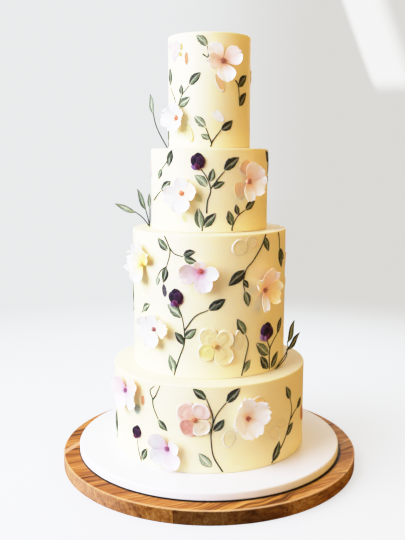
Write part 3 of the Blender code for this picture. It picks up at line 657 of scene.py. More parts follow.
def add_bar(bm, path, radius, taper, sides=8):
    """Grow a capped round bar along a path by extruding its end face, and return its points."""
    ring = bmesh.ops.create_circle(bm, cap_ends=True, segments=sides, radius=radius)["verts"]
    end = list(ring[0].link_faces)
    made = list(ring)
    last = len(path) - 1
    shrink = (1 - taper) ** (1 / last)
    heading = Vector((0, 0, 1))
    place = Vector((0, 0, 0))
    for index, point in enumerate(path):
        ahead = path[min(index + 1, last)] - path[max(index - 1, 0)]
        turn = heading.rotation_difference(ahead).to_matrix()
        if index:
            grown = bmesh.ops.extrude_face_region(bm, geom=end)["geom"]
            if index > 1:
                bmesh.ops.delete(bm, geom=end, context="FACES_ONLY")
            end = [one for one in grown if isinstance(one, bmesh.types.BMFace)]
            ring = [one for one in grown if isinstance(one, bmesh.types.BMVert)]
            made += ring
        for vert in ring:
            vert.co = point + turn @ (vert.co - place) * (shrink if index else 1)
        heading = ahead
        place = point
    return made


# %% The stem paint
def stem_paint():
    """Dark green icing that drifts to olive."""
    made, tree, shader = new_finish("Stem paint", 0.5, shine=0.2)
    place = object_place(tree)
    tones = use_group(tree, TWO_TONE, Place=place, Size=60, First=paint(26, 34, 20), Second=paint(54, 60, 36))
    tree.links.new(tones["Colour"], shader.inputs["Base Color"])
    add_bumps(tree, shader, (noise_at(tree, place, 900.0, detail=2), 0.2 * MM))
    return made


# %% Pipe the stems of each tier
STEM_PAINT = stem_paint()
for number in TIERS:
    bm = bmesh.new()
    for tier, sprig, angle, root, side in SPRIG_PLACES:
        if tier == number:
            for stem in SPRIGS[sprig][0]:
                path = smooth_path([Vector((side * x, y, 0)) * MM for x, y in stem], CURVE_STEPS)
                wrap(add_bar(bm, path, STEM_RADIUS, STEM_TAPER), tier, angle, root * MM)
    new_piece("stems_%d" % number, bm, STEM_PAINT, "spray_leaf")

# %% [markdown]
# ## Leaves
# A knife leaf has a dark, thick outer edge where the blade pressed, a thin streaky middle where
# the icing below shows through, and a groove along its rib. Each is a grid patch that is pinched
# into a leaf outline, raised into two ridges, and closed beneath. Its own map coordinates run
# along and across it, so that the streaks follow every leaf whichever way it points.

# %% The leaf paint
LEAF_TONES = [(0.05, paint(26, 34, 18)), (0.28, paint(60, 76, 38)), (0.46, paint(96, 114, 66)),
              (0.68, paint(126, 140, 104)), (0.92, paint(168, 180, 150))]
DARK_STROKE, PALE_STROKE, BARE_ICING = paint(10, 13, 8), paint(48, 57, 36), paint(222, 220, 190)


def off_middle(tree, share):
    """How far a share is from a half."""
    return maths(tree, "ABSOLUTE", maths(tree, "SUBTRACT", share, 0.5))


def leaf_group():
    """Paint of a knife leaf: dark edges, one dark half, pale streaks along the rib."""
    takes = [("Along", "Float"), ("Across", "Float"), ("Paleness", "Float")]
    tree, given, result = new_group("Knife leaf", takes, [("Colour", "Color"), ("Height", "Float")])
    along, across, paleness = given["Along"], given["Across"], given["Paleness"]
    seed = times(tree, paleness, 57.0)
    fan = times(tree, across, maths(tree, "MULTIPLY_ADD", along, -4.0, 13.0))
    spot = {"X": times(tree, along, 2.4), "Y": fan, "Z": seed}
    stroke = add_node(tree, "CombineXYZ", spot).outputs["Vector"]
    streak = noise_at(tree, stroke, 1.0, detail=4, rough=0.6)
    fine = noise_at(tree, stroke, 2.3, detail=3, rough=0.55)
    ragged = maths(tree, "MULTIPLY_ADD", streak, 0.9, -0.45)
    bend = add_node(tree, "CombineXYZ", {"X": times(tree, along, 2.0), "Z": seed}).outputs["Vector"]
    drift = maths(tree, "MULTIPLY_ADD", noise_at(tree, bend, 1.0), 0.5, -0.25)
    away = times(tree, off_middle(tree, across), 2.0)
    from_rib = times(tree, off_middle(tree, maths(tree, "ADD", across, drift)), 2.0)
    edge = smooth(tree, maths(tree, "ADD", away, ragged), 0.60, 0.88)
    far_half = smooth(tree, maths(tree, "MULTIPLY_ADD", ragged, 0.5, across), 0.50, 0.64)
    dark_half = times(tree, far_half, left_over(tree, smooth(tree, paleness, 0.4, 0.9)))
    ends = maths(tree, "MULTIPLY_ADD", ragged, 0.3, off_middle(tree, along))
    dark_ends = smooth(tree, ends, 0.40, 0.50)
    darkness = maths(tree, "MAXIMUM", maths(tree, "MAXIMUM", edge, dark_half), dark_ends)
    tone = maths(tree, "MULTIPLY_ADD", fine, 0.9, maths(tree, "SUBTRACT", paleness, 0.45))
    dark = mixed(tree, paleness, DARK_STROKE, PALE_STROKE)
    painted = mixed(tree, times(tree, darkness, 0.9), ramp(tree, tone, LEAF_TONES), dark)
    rib = left_over(tree, smooth(tree, maths(tree, "ADD", from_rib, ragged), 0.02, 0.26))
    bare_rib = times(tree, rib, maths(tree, "MULTIPLY_ADD", paleness, 0.6, 0.3))
    gaps = times(tree, smooth(tree, fine, 0.58, 0.68), left_over(tree, edge))
    bare = times(tree, gaps, maths(tree, "MULTIPLY_ADD", paleness, 0.75, 0.12))
    shows = times(tree, maths(tree, "MAXIMUM", bare, bare_rib), left_over(tree, dark_ends))
    tree.links.new(mixed(tree, shows, painted, BARE_ICING), result["Colour"])
    tree.links.new(streak, result["Height"])
    return tree


def leaf_paint():
    """Paint that reads each leaf's own map and paleness."""
    made, tree, shader = new_finish("Leaf paint", 0.45, 0.05, 1 * MM, (0.6, 1.0, 0.4), shine=0.25)
    stroke = add_node(tree, "UVMap", uv_map="stroke").outputs["UV"]
    share = add_node(tree, "SeparateXYZ", {"Vector": stroke}).outputs
    paleness = add_node(tree, "Attribute", attribute_name="paleness").outputs["Fac"]
    strokes = use_group(tree, leaf_group(), Along=share["X"], Across=share["Y"], Paleness=paleness)
    tree.links.new(strokes["Colour"], shader.inputs["Base Color"])
    add_bumps(tree, shader, (strokes["Height"], 0.6 * MM))
    return made


# %% Press the leaves on
LEAF_SLIMNESS = 0.42
LEAF_LEAST = 2 * MM
LEAF_BEND = 0.07
LEAF_STEPS = (18, 10)
LEAF_RIDGE = 1.25 * MM
LEAF_GROOVE = 0.55 * MM
# Where a raised edge runs, as a share of the way out from the middle, and how wide it is.
LEAF_EDGE = (0.62, 0.26)
RELIEF_ROOT = -1.6 * MM
RELIEF_EDGE = -0.3 * MM


def new_relief():
    """A bmesh that knows each point's stroke coordinates, tint and paleness."""
    bm = bmesh.new()
    bm.loops.layers.uv.new("stroke")
    bm.verts.layers.float.new("paleness")
    bm.verts.layers.float_color.new("tint")
    return bm


def grid_patch(bm, steps):
    """A flat patch with its own map, and each point's share along and across it."""
    made = bmesh.ops.create_grid(bm, x_segments=steps[0], y_segments=steps[1], size=1, calc_uvs=True)["verts"]
    return made, [((vert.co.x + 1) / 2, vert.co.y) for vert in made]


def fullness(along, pull):
    """How wide an outline is along its length, 0 at both ends. A low pull widens it near its base."""
    return math.sin(math.pi * along ** pull) if 0 < along < 1 else 0


def ragged_edge(along, across, reach, bumps, seed):
    """A little more or less than 1, so that each side of an outline wavers on its own."""
    return 1 + reach * noise.noise(Vector((along * bumps, math.copysign(3, across), seed)))


def ridge_over(place, middle, width):
    """How high a smooth ridge stands at a place: 1 over its middle."""
    return math.exp(-((place - middle) / width) ** 2)


def merge_ends(bm, verts):
    """Merge a patch's pinched ends, and return the points that are left."""
    bmesh.ops.remove_doubles(bm, verts=verts, dist=MM / 50)
    return [vert for vert in verts if vert.is_valid]


def close_beneath(bm, verts, root):
    """Merge a patch's pinched ends, close it with a flat underside, and return all its points."""
    kept = merge_ends(bm, verts)
    faces = list({face for vert in kept for face in vert.link_faces})
    grown = bmesh.ops.extrude_face_region(bm, geom=faces)["geom"]
    beneath = [one for one in grown if isinstance(one, bmesh.types.BMVert)]
    for vert in beneath:
        vert.co.z = root
    return kept + beneath


def leaf_ridges(along, across, seed):
    """Height of a knife leaf: two ridges, a groove between, and thin ends."""
    swell = fullness(along, 1) ** 0.5
    ridge = ridge_over(abs(across), *LEAF_EDGE)
    scratch = 0.16 * noise.noise(Vector((along * 3, across * 7, seed)))
    return RELIEF_EDGE + swell * (1 - across ** 6) * (LEAF_GROOVE + LEAF_RIDGE * (ridge + scratch) * 0.8)


def add_leaf(bm, leaf, side, dice):
    """One knife leaf, flat, from its base to its tip."""
    x, y, tip_x, tip_y, pale = leaf
    base, tip = Vector((side * x, y, 0)) * MM, Vector((side * tip_x, tip_y, 0)) * MM
    length = (tip - base).length
    half = (length * LEAF_SLIMNESS + LEAF_LEAST) / 2
    bend, seed = dice.uniform(-LEAF_BEND, LEAF_BEND), dice.uniform(0, 99)
    made, shares = grid_patch(bm, LEAF_STEPS)
    for vert, (along, across) in zip(made, shares):
        spread = fullness(along, 0.85)
        ragged = ragged_edge(along, across, 0.14, 7, seed)
        sag = bend * length * math.sin(math.pi * along)
        height = leaf_ridges(along, across, seed)
        vert.co = Vector((along * length, across * spread * ragged * half + sag, height))
        vert[bm.verts.layers.float["paleness"]] = pale
    made = close_beneath(bm, made, RELIEF_ROOT)
    turn = Vector((1, 0, 0)).rotation_difference(tip - base).to_matrix().to_4x4()
    bmesh.ops.transform(bm, matrix=Matrix.Translation(base) @ turn, verts=made)
    return made


LEAF_PAINT = leaf_paint()
for number in TIERS:
    bm = new_relief()
    dice = random.Random(number)
    for tier, sprig, angle, root, side in SPRIG_PLACES:
        if tier == number:
            for leaf in SPRIGS[sprig][1]:
                wrap(add_leaf(bm, leaf, side, dice), tier, angle, root * MM)
    new_piece("leaves_%d" % number, bm, LEAF_PAINT, "spray_leaf")

# %% [markdown]
# ## Loose petals of icing
# Beside the sprigs the decorator pressed single petals of tinted icing: one swipe of the knife leaves
# a thin feathered start and a raised rim where the blade lifted. A rim is a ridge that follows the
# petal's outline, so the height depends on how near a point is to the edge.

# %% The piped paste
def tinted_paste(name, rough, glow, glow_depth, drag_reach, shine=0.4, veins=0.14, lit=0.0):
    """Icing or sugar paste in each point's tint. Lit is painted light: the paste glows faintly in its own
    colour.
    """
    made, tree, shader = new_finish(name, rough, glow, glow_depth, (1.0, 0.7, 0.5), shine=shine)
    tint = add_node(tree, "Attribute", attribute_name="tint").outputs["Color"]
    place = object_place(tree)
    soft = use_group(tree, TWO_TONE, Place=place, Size=150, First=(1, 1, 1, 1), Second=(0.93, 0.92, 0.91, 1))
    stroke = add_node(tree, "UVMap", uv_map="stroke").outputs["UV"]
    drag = use_group(tree, KNIFE_DRAG, Place=stretched(tree, stroke, (2.2, 16, 1)), Size=1.0)
    veined = mixed(tree, times(tree, drag["Streak"], veins), tint, (1, 1, 1, 1))
    colour = mixed(tree, 1.0, veined, soft["Colour"], "MULTIPLY")
    tree.links.new(colour, shader.inputs["Base Color"])
    # Painted light: the paste's own colour also glows.
    tree.links.new(colour, shader.inputs["Emission Color"])
    shader.inputs["Emission Strength"].default_value = lit
    grain = noise_at(tree, place, 1400.0, detail=2)
    add_bumps(tree, shader, (drag["Height"], drag_reach), (grain, 0.08 * MM))
    return made


# The piped and sugar pastes glow faintly: painted light.
PIPED_PASTE = tinted_paste("Piped paste", 0.45, 0.3, 5 * MM, 0.7 * MM, lit=0.05)
SUGAR_PASTE = tinted_paste("Sugar paste", 0.55, 0.35, 3 * MM, 0.3 * MM, lit=0.13)
VELVET_PASTE = tinted_paste("Velvet paste", 0.6, 0.1, 1 * MM, 0.8 * MM, shine=0.08, veins=0.02)

# %% Spread a petal of icing
PETAL_STEPS = (20, 16)
DAB_RIDGE = 2.0 * MM
DAB_RIM = (0.86, 0.115)


def blended(first, second, share):
    """A colour between two."""
    share = max(0.0, min(1.0, share))
    return [a + (b - a) * share for a, b in zip(first, second)]


def nearness(along, across):
    """How near a point is to a petal's outline, 0 in the middle to 1 on it."""
    return (abs(across) ** 6 + max(0.0, 2 * along - 1) ** 6) ** (1 / 6)


def add_dab(bm, length, width, body, rim, seed):
    """One swipe of icing along +X: feathered where it starts, rimmed where it ends."""
    tint = bm.verts.layers.float_color["tint"]
    made, shares = grid_patch(bm, PETAL_STEPS)
    for vert, (along, across) in zip(made, shares):
        spread = fullness(along, 0.85) ** 0.6
        ragged = ragged_edge(along, across, 0.10, 5, seed)
        near = nearness(along, across)
        one_side = 0.62 + 0.38 * math.copysign(1, (seed % 2) - 0.5) * across
        ridge = ridge_over(near, *DAB_RIM) * along ** 0.6 * one_side
        streak = 0.2 * noise.noise(Vector((along * 2, across * 8, seed)))
        body_height = 0.35 + 0.3 * along + streak
        edge = 1 - near ** 10 if 0 < along < 1 else 0
        height = RELIEF_EDGE + edge * (body_height * DAB_RIDGE * 0.6 + ridge * DAB_RIDGE)
        vert.co = Vector((along * length, across * spread * ragged * width / 2, height))
        vert[tint] = blended(body, rim, ridge * 1.7 - 0.1)
    return close_beneath(bm, made, RELIEF_ROOT)


CREAM, PALE, WHITE = paint(247, 226, 168), paint(255, 251, 232), paint(252, 250, 246)
ORANGE, PEACH, GOLD = paint(208, 130, 60), paint(246, 196, 152), paint(247, 214, 140)
PINK, ROSE, LEMON = paint(206, 156, 150), paint(236, 186, 172), paint(230, 216, 104)
LIME, MIST, MOSS = paint(226, 222, 140), paint(176, 188, 164), paint(186, 160, 44)
APRICOT, BUTTER, ROSY = paint(240, 190, 124), paint(250, 236, 168), paint(230, 192, 188)
INK, DUSK = paint(36, 10, 34), paint(69, 39, 80)
# Tier, angle, height, heading, length, width, then the colour of its body and of its rim.
DABS = (
    (4, 9, 90, 158, 24, 11, APRICOT, PALE), (4, -50, 132, 188, 21, 17, ROSY, WHITE),
    (4, -62, 120, 150, 15, 12, ROSY, WHITE), (4, -62, 126, 280, 12, 11, ROSY, LIME),
    (4, -42, 128, 174, 9, 6, MOSS, LIME), (4, -46, 116, 120, 6, 6, MOSS, LEMON),
    (4, -33, 117, 178, 16, 6, ORANGE, PEACH), (4, -38, 32, 152, 28, 14, BUTTER, LEMON),
    (4, 4, 46, 133, 20, 11, WHITE, WHITE), (4, 87, 80, 5, 20, 15, PEACH, GOLD),
    (3, -80, 66, 352, 20, 14, ROSE, PINK), (3, 33, 72, 18, 18, 19, APRICOT, GOLD),
    (3, 27, 62, 168, 22, 17, APRICOT, GOLD), (3, -12, 48, 160, 12, 9, LIME, CREAM),
    (3, -26, 22, 155, 11, 6, LIME, PALE),
    (2, 22, 153, 352, 21, 24, CREAM, PALE), (2, 28, 163, 30, 15, 18, CREAM, PEACH),
    (2, 21, 34, 358, 28, 13, CREAM, PALE), (2, 84, 128, 5, 19, 14, PEACH, GOLD),
    (1, -40, 90, 184, 14, 7, ORANGE, PEACH), (1, -44, 75, 196, 14, 13, MIST, WHITE),
    (1, 27, 79, 12, 15, 20, GOLD, PALE), (1, 41, 52, 100, 17, 14, CREAM, GOLD),
    (1, 35, 47, 132, 24, 19, CREAM, PALE), (1, 11, 55, 188, 23, 18, CREAM, PALE),
    (1, 72, 56, 178, 22, 15, ORANGE, PEACH),
    (4, 118, 104, 30, 16, 12, PINK, WHITE), (3, 92, 82, 10, 16, 14, PEACH, GOLD),
    (2, -33, 100, 352, 17, 7, INK, DUSK),
    (2, 88, 92, 20, 22, 18, CREAM, PALE), (2, -178, 118, 150, 24, 16, ROSE, PALE),
    (1, 150, 84, 100, 20, 16, GOLD, PALE), (1, -132, 64, 150, 22, 17, CREAM, PALE),
)
for number in TIERS:
    bm = new_relief()
    for index, (tier, angle, height, heading, length, width, body, rim) in enumerate(DABS):
        if tier == number:
            made = add_dab(bm, length * MM, width * MM, body, rim, index)
            bmesh.ops.transform(bm, matrix=heading_turn(heading), verts=made)
            wrap(made, tier, angle, height * MM)
    new_piece("loose_petals_%d" % number, bm, PIPED_PASTE, "piped_petal")

# %% [markdown]
# ## Flowers spread flat
# Three flowers are made of icing alone: four thick round petals with raised rims, each lapping the
# last, round a speckled heart. They follow the wall, so they are drawn flat and rolled round it.

# %% Spread the flat flowers
FLAT_HOLLOW = 1.2 * MM
FLAT_RIDGE = 2.3 * MM
FLAT_RIM = (0.90, 0.095)
FLAT_FOOT = 0.6 * MM
FLAT_STAGGER = 0.4 * MM
SALMON, CLAY, SHELL = paint(226, 176, 152), paint(200, 130, 104), paint(230, 198, 180)
SAND, CUP, STRAW = paint(244, 224, 156), paint(230, 208, 172), paint(236, 222, 128)
# Tier, angle, height, then petals: heading, reach, width, body, rim.
FLAT_FLOWERS = {
    "flower_2e": (2, 4, 42, ((323, 27, 25, SAND, PALE), (54, 26, 24, SAND, PALE),
                             (236, 25, 23, STRAW, PALE), (141, 29, 26, SAND, PALE))),
    "flower_1c": (1, -8, 69, ((309, 26, 28, SALMON, PALE), (35, 23, 25, SHELL, WHITE),
                              (218, 24, 25, CLAY, SHELL), (141, 23, 24, CUP, WHITE))),
    "flower_1f": (1, 158, 42, ((340, 25, 23, SALMON, PALE), (70, 24, 22, CLAY, SHELL),
                               (160, 26, 24, SHELL, WHITE), (250, 24, 22, CUP, WHITE))),
}
THROAT_GOLD = paint(238, 176, 84)


def petal_outline(along, across, reach, width, pull):
    """Where a petal's point lies in its own plane: round, and widest two thirds of the way out."""
    spread = math.sin(math.pi * along ** 1.1 * 0.78)
    return along * reach * (1 - pull * abs(across) ** 1.5), across * spread * width / 2


def add_flat_petal(bm, reach, width, level, body, rim, seed):
    """A thick petal of icing with a raised rim and a hollow middle."""
    tint = bm.verts.layers.float_color["tint"]
    made, shares = grid_patch(bm, PETAL_STEPS)
    for vert, (along, across) in zip(made, shares):
        x, y = petal_outline(along, across, reach, width, 0.14)
        near = nearness(along, across * min(1.0, along * 1.6))
        uneven = 1 + 0.25 * noise.noise(Vector((along * 4, across * 4, seed)))
        lifted = max(0.3, 0.75 + 1.2 * noise.noise(Vector((math.atan2(y, x - reach / 2) * 0.9, seed, 0))))
        ridge = ridge_over(near, *FLAT_RIM) * lifted
        swirl = 0.3 * math.sin(near * 11 + 2.5 * noise.noise(Vector((along * 2, across * 2, seed))))
        hollow = FLAT_HOLLOW * (0.55 + swirl * along)
        vert.co = Vector((x, y, level + hollow + FLAT_RIDGE * ridge * along * uneven * 0.9))
        throat = blended(THROAT_GOLD, body, along * 3.2)
        vert[tint] = blended(throat, rim, (ridge * 1.3 + 0.6 * swirl) * along)
    return close_beneath(bm, made, RELIEF_ROOT)


for name, (tier, angle, height, petals) in FLAT_FLOWERS.items():
    bm = new_relief()
    for index, (heading, reach, width, body, rim) in enumerate(petals):
        level = FLAT_FOOT + index * FLAT_STAGGER
        made = add_flat_petal(bm, reach * MM, width * MM, level, body, rim, index + len(name))
        bmesh.ops.transform(bm, matrix=heading_turn(heading), verts=made)
        wrap(made, tier, angle, height * MM)
    new_piece("spread_" + name, bm, PIPED_PASTE, "piped_petal", stands_for=[name])

# %% [markdown]
# ## Sugar petals
# The other flowers are wired gum paste: petals rolled thin, frilled along the rim with a ball tool
# and dried in a cup. Each is a grid patch pulled into a petal outline, lifted towards its tip and
# rippled along its edge. The sheet is then given its real thickness, about half a millimetre, by
# Solidify, and one level of subdivision rounds it.

# %% Colours of the petals and their hearts
# Each petal colour is its body and its frilled rim; each heart is throat, dome and dots.
PETALS = {
    "white": (paint(222, 220, 214), paint(236, 234, 229)),
    "snow": (paint(250, 245, 243), paint(255, 253, 251)),
    "blush": (paint(250, 224, 218), paint(255, 240, 236)),
    "peach": (paint(253, 212, 186), paint(255, 230, 210)),
    "lilac": (paint(216, 200, 210), paint(231, 221, 226)),
    "grey": (paint(190, 190, 193), paint(206, 206, 209)),
    "pink": (paint(228, 184, 189), paint(240, 218, 218)),
    "cream": (paint(246, 226, 184), paint(250, 238, 212)),
    "yellow": (paint(238, 220, 118), paint(240, 230, 180)),
    "honey": (paint(254, 212, 134), paint(255, 232, 182)),
}
# The last number says how fast the throat's colour fades along a petal.
HEARTS = {
    "ember": (paint(240, 176, 134), paint(176, 84, 34), paint(84, 34, 12), 2.3),
    "orange": (paint(250, 228, 184), paint(222, 112, 36), paint(190, 84, 24), 3.2),
    "gold": (paint(244, 214, 96), paint(238, 186, 64), paint(226, 140, 44), 1.5),
    "red": (paint(206, 128, 164), paint(200, 70, 54), paint(146, 30, 30), 2.9),
    "rust": (paint(246, 182, 134), paint(182, 88, 40), paint(116, 44, 18), 2.2),
    "magenta": (paint(206, 158, 186), paint(150, 50, 104), paint(104, 22, 68), 2.6),
    "glow": (paint(250, 200, 164), paint(190, 92, 56), paint(130, 50, 28), 3.0),
    "seeds": (paint(250, 236, 204), paint(160, 60, 40), paint(90, 22, 20), 3.4),
}

# Place: tier, angle, height, lean sideways, lean up. Then heart and frill.
# Petals: heading, reach, width, rise and colour.
FLOWERS = {
    "flower_4a": ((4, 17, 104, -6, 4), "ember", 1.2,
                  ((63, 25, 23, 5, "blush"), (168, 26, 22, 6, "snow"), (268, 21, 19, 6, "blush"),
                   (320, 26, 20, 4, "snow"))),
    "flower_4b": ((4, -46, 37, 0, 4), "orange", 1.3,
                  ((272, 25, 23, 7, "white"), (340, 20, 21, 5, "white"), (62, 15, 17, 4, "white"),
                   (172, 18, 23, 6, "white"))),
    "flower_3a": ((3, -25, 48, 0, 4), "orange", 1.1,
                  ((262, 25, 22, 6, "white"), (354, 20, 20, 5, "white"), (80, 21, 21, 5, "cream"),
                   (181, 25, 26, 6, "white"))),
    "flower_3b": ((3, 36, 62, 4, 2), "rust", 1.0,
                  ((28, 24, 30, 9, "blush"), (108, 25, 28, 8, "snow"), (190, 25, 19, 7, "snow"))),
    "flower_2a": ((2, -53, 138, 0, 4), "gold", 2.0,
                  ((276, 30, 27, 7, "white"), (340, 29, 22, 7, "white"), (50, 22, 18, 6, "yellow"),
                   (200, 26, 26, 7, "white"))),
    "flower_2b": ((2, -6, 136, 0, -4), "red", 0.8,
                  ((258, 28, 24, 6, "lilac"), (168, 27, 22, 7, "lilac"), (99, 23, 17, 6, "white"),
                   (350, 14, 15, 5, "blush"))),
    "flower_2c": ((2, 40, 108, 3, 2), "rust", 1.4,
                  ((25, 29, 25, 8, "peach"), (303, 21, 16, 6, "cream"), (105, 24, 29, 9, "honey"),
                   (191, 27, 13, 6, "snow"))),
    "flower_2d": ((2, -41, 58, 0, 2), "seeds", 1.4,
                  ((270, 28, 28, 7, "white"), (345, 20, 20, 5, "white"), (80, 26, 23, 5, "cream"),
                   (184, 24, 24, 6, "white"))),
    "flower_1a": ((1, -53, 90, 0, 2), "magenta", 1.2,
                  ((285, 28, 25, 7, "pink"), (66, 30, 23, 3, "peach"), (205, 28, 25, 6, "blush"),
                   (124, 30, 22, 3, "white"))),
    "flower_1b": ((1, -23, 30, 0, -2), "magenta", 0.8,
                  ((300, 27, 22, 5, "grey"), (226, 28, 24, 5, "grey"), (156, 28, 25, 6, "lilac"),
                   (70, 18, 18, 6, "white"))),
    "flower_1d": ((1, 20, 69, 4, 3), "glow", 2.2,
                  ((346, 28, 25, 9, "snow"), (74, 30, 30, 7, "snow"), (160, 26, 32, 6, "snow"),
                   (252, 22, 25, 6, "snow"))),
    "flower_4c": ((4, 172, 108, 2, 2), "rust", 0.9,
                  ((20, 24, 22, 5, "peach"), (110, 25, 20, 5, "white"), (200, 22, 20, 5, "peach"),
                   (300, 24, 19, 5, "cream"))),
    "flower_4d": ((4, -156, 62, 0, 4), "magenta", 1.0,
                  ((20, 22, 22, 6, "lilac"), (110, 25, 23, 6, "white"), (200, 22, 21, 6, "pink"),
                   (285, 25, 20, 6, "lilac"))),
    "flower_3c": ((3, 153, 66, 0, 2), "orange", 1.1,
                  ((10, 23, 24, 6, "white"), (95, 24, 22, 7, "cream"), (185, 25, 25, 6, "white"),
                   (275, 23, 21, 6, "white"))),
    "flower_3d": ((3, -138, 46, -4, 2), "ember", 0.7,
                  ((45, 25, 24, 7, "blush"), (150, 24, 22, 6, "peach"), (255, 25, 28, 7, "blush"))),
    "flower_2f": ((2, 130, 142, 2, 3), "red", 1.0,
                  ((60, 27, 24, 5, "blush"), (150, 28, 24, 5, "white"), (240, 26, 22, 5, "lilac"),
                   (330, 27, 23, 5, "blush"))),
    "flower_2g": ((2, 148, 82, 0, -3), "gold", 1.4,
                  ((30, 26, 24, 6, "white"), (125, 28, 25, 7, "yellow"), (215, 24, 22, 6, "white"),
                   (300, 26, 23, 6, "white"))),
    "flower_2i": ((2, -124, 142, -3, 2), "rust", 0.9,
                  ((15, 25, 22, 6, "cream"), (100, 26, 24, 7, "peach"), (190, 28, 24, 6, "cream"),
                   (280, 27, 25, 7, "peach"))),
    "flower_1e": ((1, 122, 72, 2, 3), "magenta", 0.9,
                  ((40, 27, 25, 4, "grey"), (135, 26, 24, 4, "lilac"), (230, 27, 24, 4, "white"),
                   (315, 24, 21, 4, "grey"))),
    "flower_1g": ((1, -154, 76, 0, 2), "rust", 1.6,
                  ((5, 25, 24, 6, "white"), (92, 28, 24, 6, "lilac"), (178, 26, 26, 7, "white"),
                   (268, 26, 22, 6, "white"))),
    "flower_1h": ((1, -124, 76, -2, 2), "ember", 1.0,
                  ((55, 25, 22, 4, "white"), (145, 27, 25, 4, "blush"), (250, 28, 24, 5, "white"),
                   (335, 24, 22, 4, "pink"))),
}

# %% Frill and cup a petal
SUGAR_STEPS = (14, 14)
SUGAR_THICKNESS = 0.6 * MM
PETAL_FOOT = 3.0 * MM
PETAL_STAGGER = 0.3 * MM
HEART_RADIUS = 4.5 * MM


def add_sugar_petal(bm, spec, foot, heart, frill, seed):
    """A thin petal, cupped towards its tip and frilled along its rim."""
    heading, reach, width, rise, colour = spec
    throat, _, _, fade = HEARTS[heart]
    body, rim = PETALS[colour]
    tint = bm.verts.layers.float_color["tint"]
    made, shares = grid_patch(bm, SUGAR_STEPS)
    for vert, (along, across) in zip(made, shares):
        x, y = petal_outline(along, across, reach * MM, width * MM, 0.12)
        lift = rise * MM * (along ** 1.6 + 0.55 * across * across * along - 0.25 * along ** 4)
        wave = math.sin(across * 6.1 + seed) + 0.7 * math.sin(across * 10.7 + seed * 1.7)
        ruffle = 0.75 * frill * MM * wave * along ** 3 * (0.4 + 0.8 * abs(across))
        tuck = 1 + 0.03 * frill * math.sin(across * 9.3 + seed * 2.3) * along ** 4
        vert.co = Vector((x * tuck, y * (1.05 + 0.03 * wave * along), foot + lift + ruffle))
        near_heart = blended(throat, body, along * fade - 0.3)
        vert[tint] = blended(near_heart, rim, along * 3 - 2 + 0.4 * abs(across))
    bmesh.ops.transform(bm, matrix=heading_turn(heading), verts=merge_ends(bm, made))


def flower_place(tier, angle, height, lean_side, lean_up):
    """Where a sugar flower stands, lifted so that its leaning heart clears the wall."""
    steepest = math.radians(max(abs(lean_side), abs(lean_up)))
    clear = Matrix.Translation((0, 0, 2 * HEART_RADIUS * math.sin(steepest)))
    return facing_out(tier, angle, height, lean_side, lean_up) @ clear


def thicken_and_round(piece, thickness):
    """Give a sheet its thickness, and round it by one level of subdivision."""
    solid = piece.modifiers.new("thickness", "SOLIDIFY")
    solid.thickness = thickness
    solid.offset = 0
    subdivide = piece.modifiers.new("roundness", "SUBSURF")
    subdivide.levels = 1
    subdivide.render_levels = 1


for seed, (name, (place, heart, frill, petals)) in enumerate(FLOWERS.items()):
    bm = new_relief()
    for index, petal in enumerate(petals):
        foot = PETAL_FOOT + index * PETAL_STAGGER
        add_sugar_petal(bm, petal, foot, heart, frill, seed * 5.3 + index)
    bmesh.ops.transform(bm, matrix=flower_place(*place), verts=bm.verts)
    piece_name = name.replace("flower", "petals")
    piece = new_piece(piece_name, bm, SUGAR_PASTE, "sugar_petal", stands_for=[name], closed=False)
    thicken_and_round(piece, SUGAR_THICKNESS)

# %% [markdown]
# ## Hearts and stamens
# In the middle of each flower sits a small dome of coloured sugar with a ring of seed-like dots on
# short threads. Beads and threads are small and many, so they stay simple: a coarse ball and a
# six-sided cone. The dome also hides where the petals meet.

# %% Set the hearts
DOME_RADIUS = 3.0 * MM
DOME_FLATNESS = 0.62
DOME_LIFT = 1.6 * MM
DOME_GRAIN = 0.35 * MM
THROAT_RADIUS = 0.62 * HEART_RADIUS
THROAT_FOOT = 0.4 * MM
BEAD_RADIUS = 0.55 * MM
TOP_BEAD_RADIUS = 1.8 * BEAD_RADIUS
TOP_BEAD_LIFT = 1.7 * MM
BEADS = 11
THREAD_RADII = (0.4 * MM, 0.25 * MM)


def tint_all(bm, verts, colour):
    """Give every point the same tint."""
    for vert in verts:
        vert[bm.verts.layers.float_color["tint"]] = colour


def add_ball(bm, place, radius, flatness, colour):
    """A small ball of coloured sugar."""
    made = bmesh.ops.create_icosphere(bm, subdivisions=2, radius=radius)["verts"]
    bmesh.ops.scale(bm, verts=made, vec=(1, 1, flatness))
    bmesh.ops.translate(bm, verts=made, vec=place)
    tint_all(bm, made, colour)
    return made


def add_thread(bm, foot, tip, colour):
    """The short thread that carries a bead."""
    made = bmesh.ops.create_cone(bm, cap_ends=True, segments=6, radius1=THREAD_RADII[0],
                                 radius2=THREAD_RADII[1], depth=(tip - foot).length)["verts"]
    turn = Vector((0, 0, 1)).rotation_difference(tip - foot).to_matrix().to_4x4()
    bmesh.ops.transform(bm, matrix=Matrix.Translation((foot + tip) / 2) @ turn, verts=made)
    tint_all(bm, made, colour)


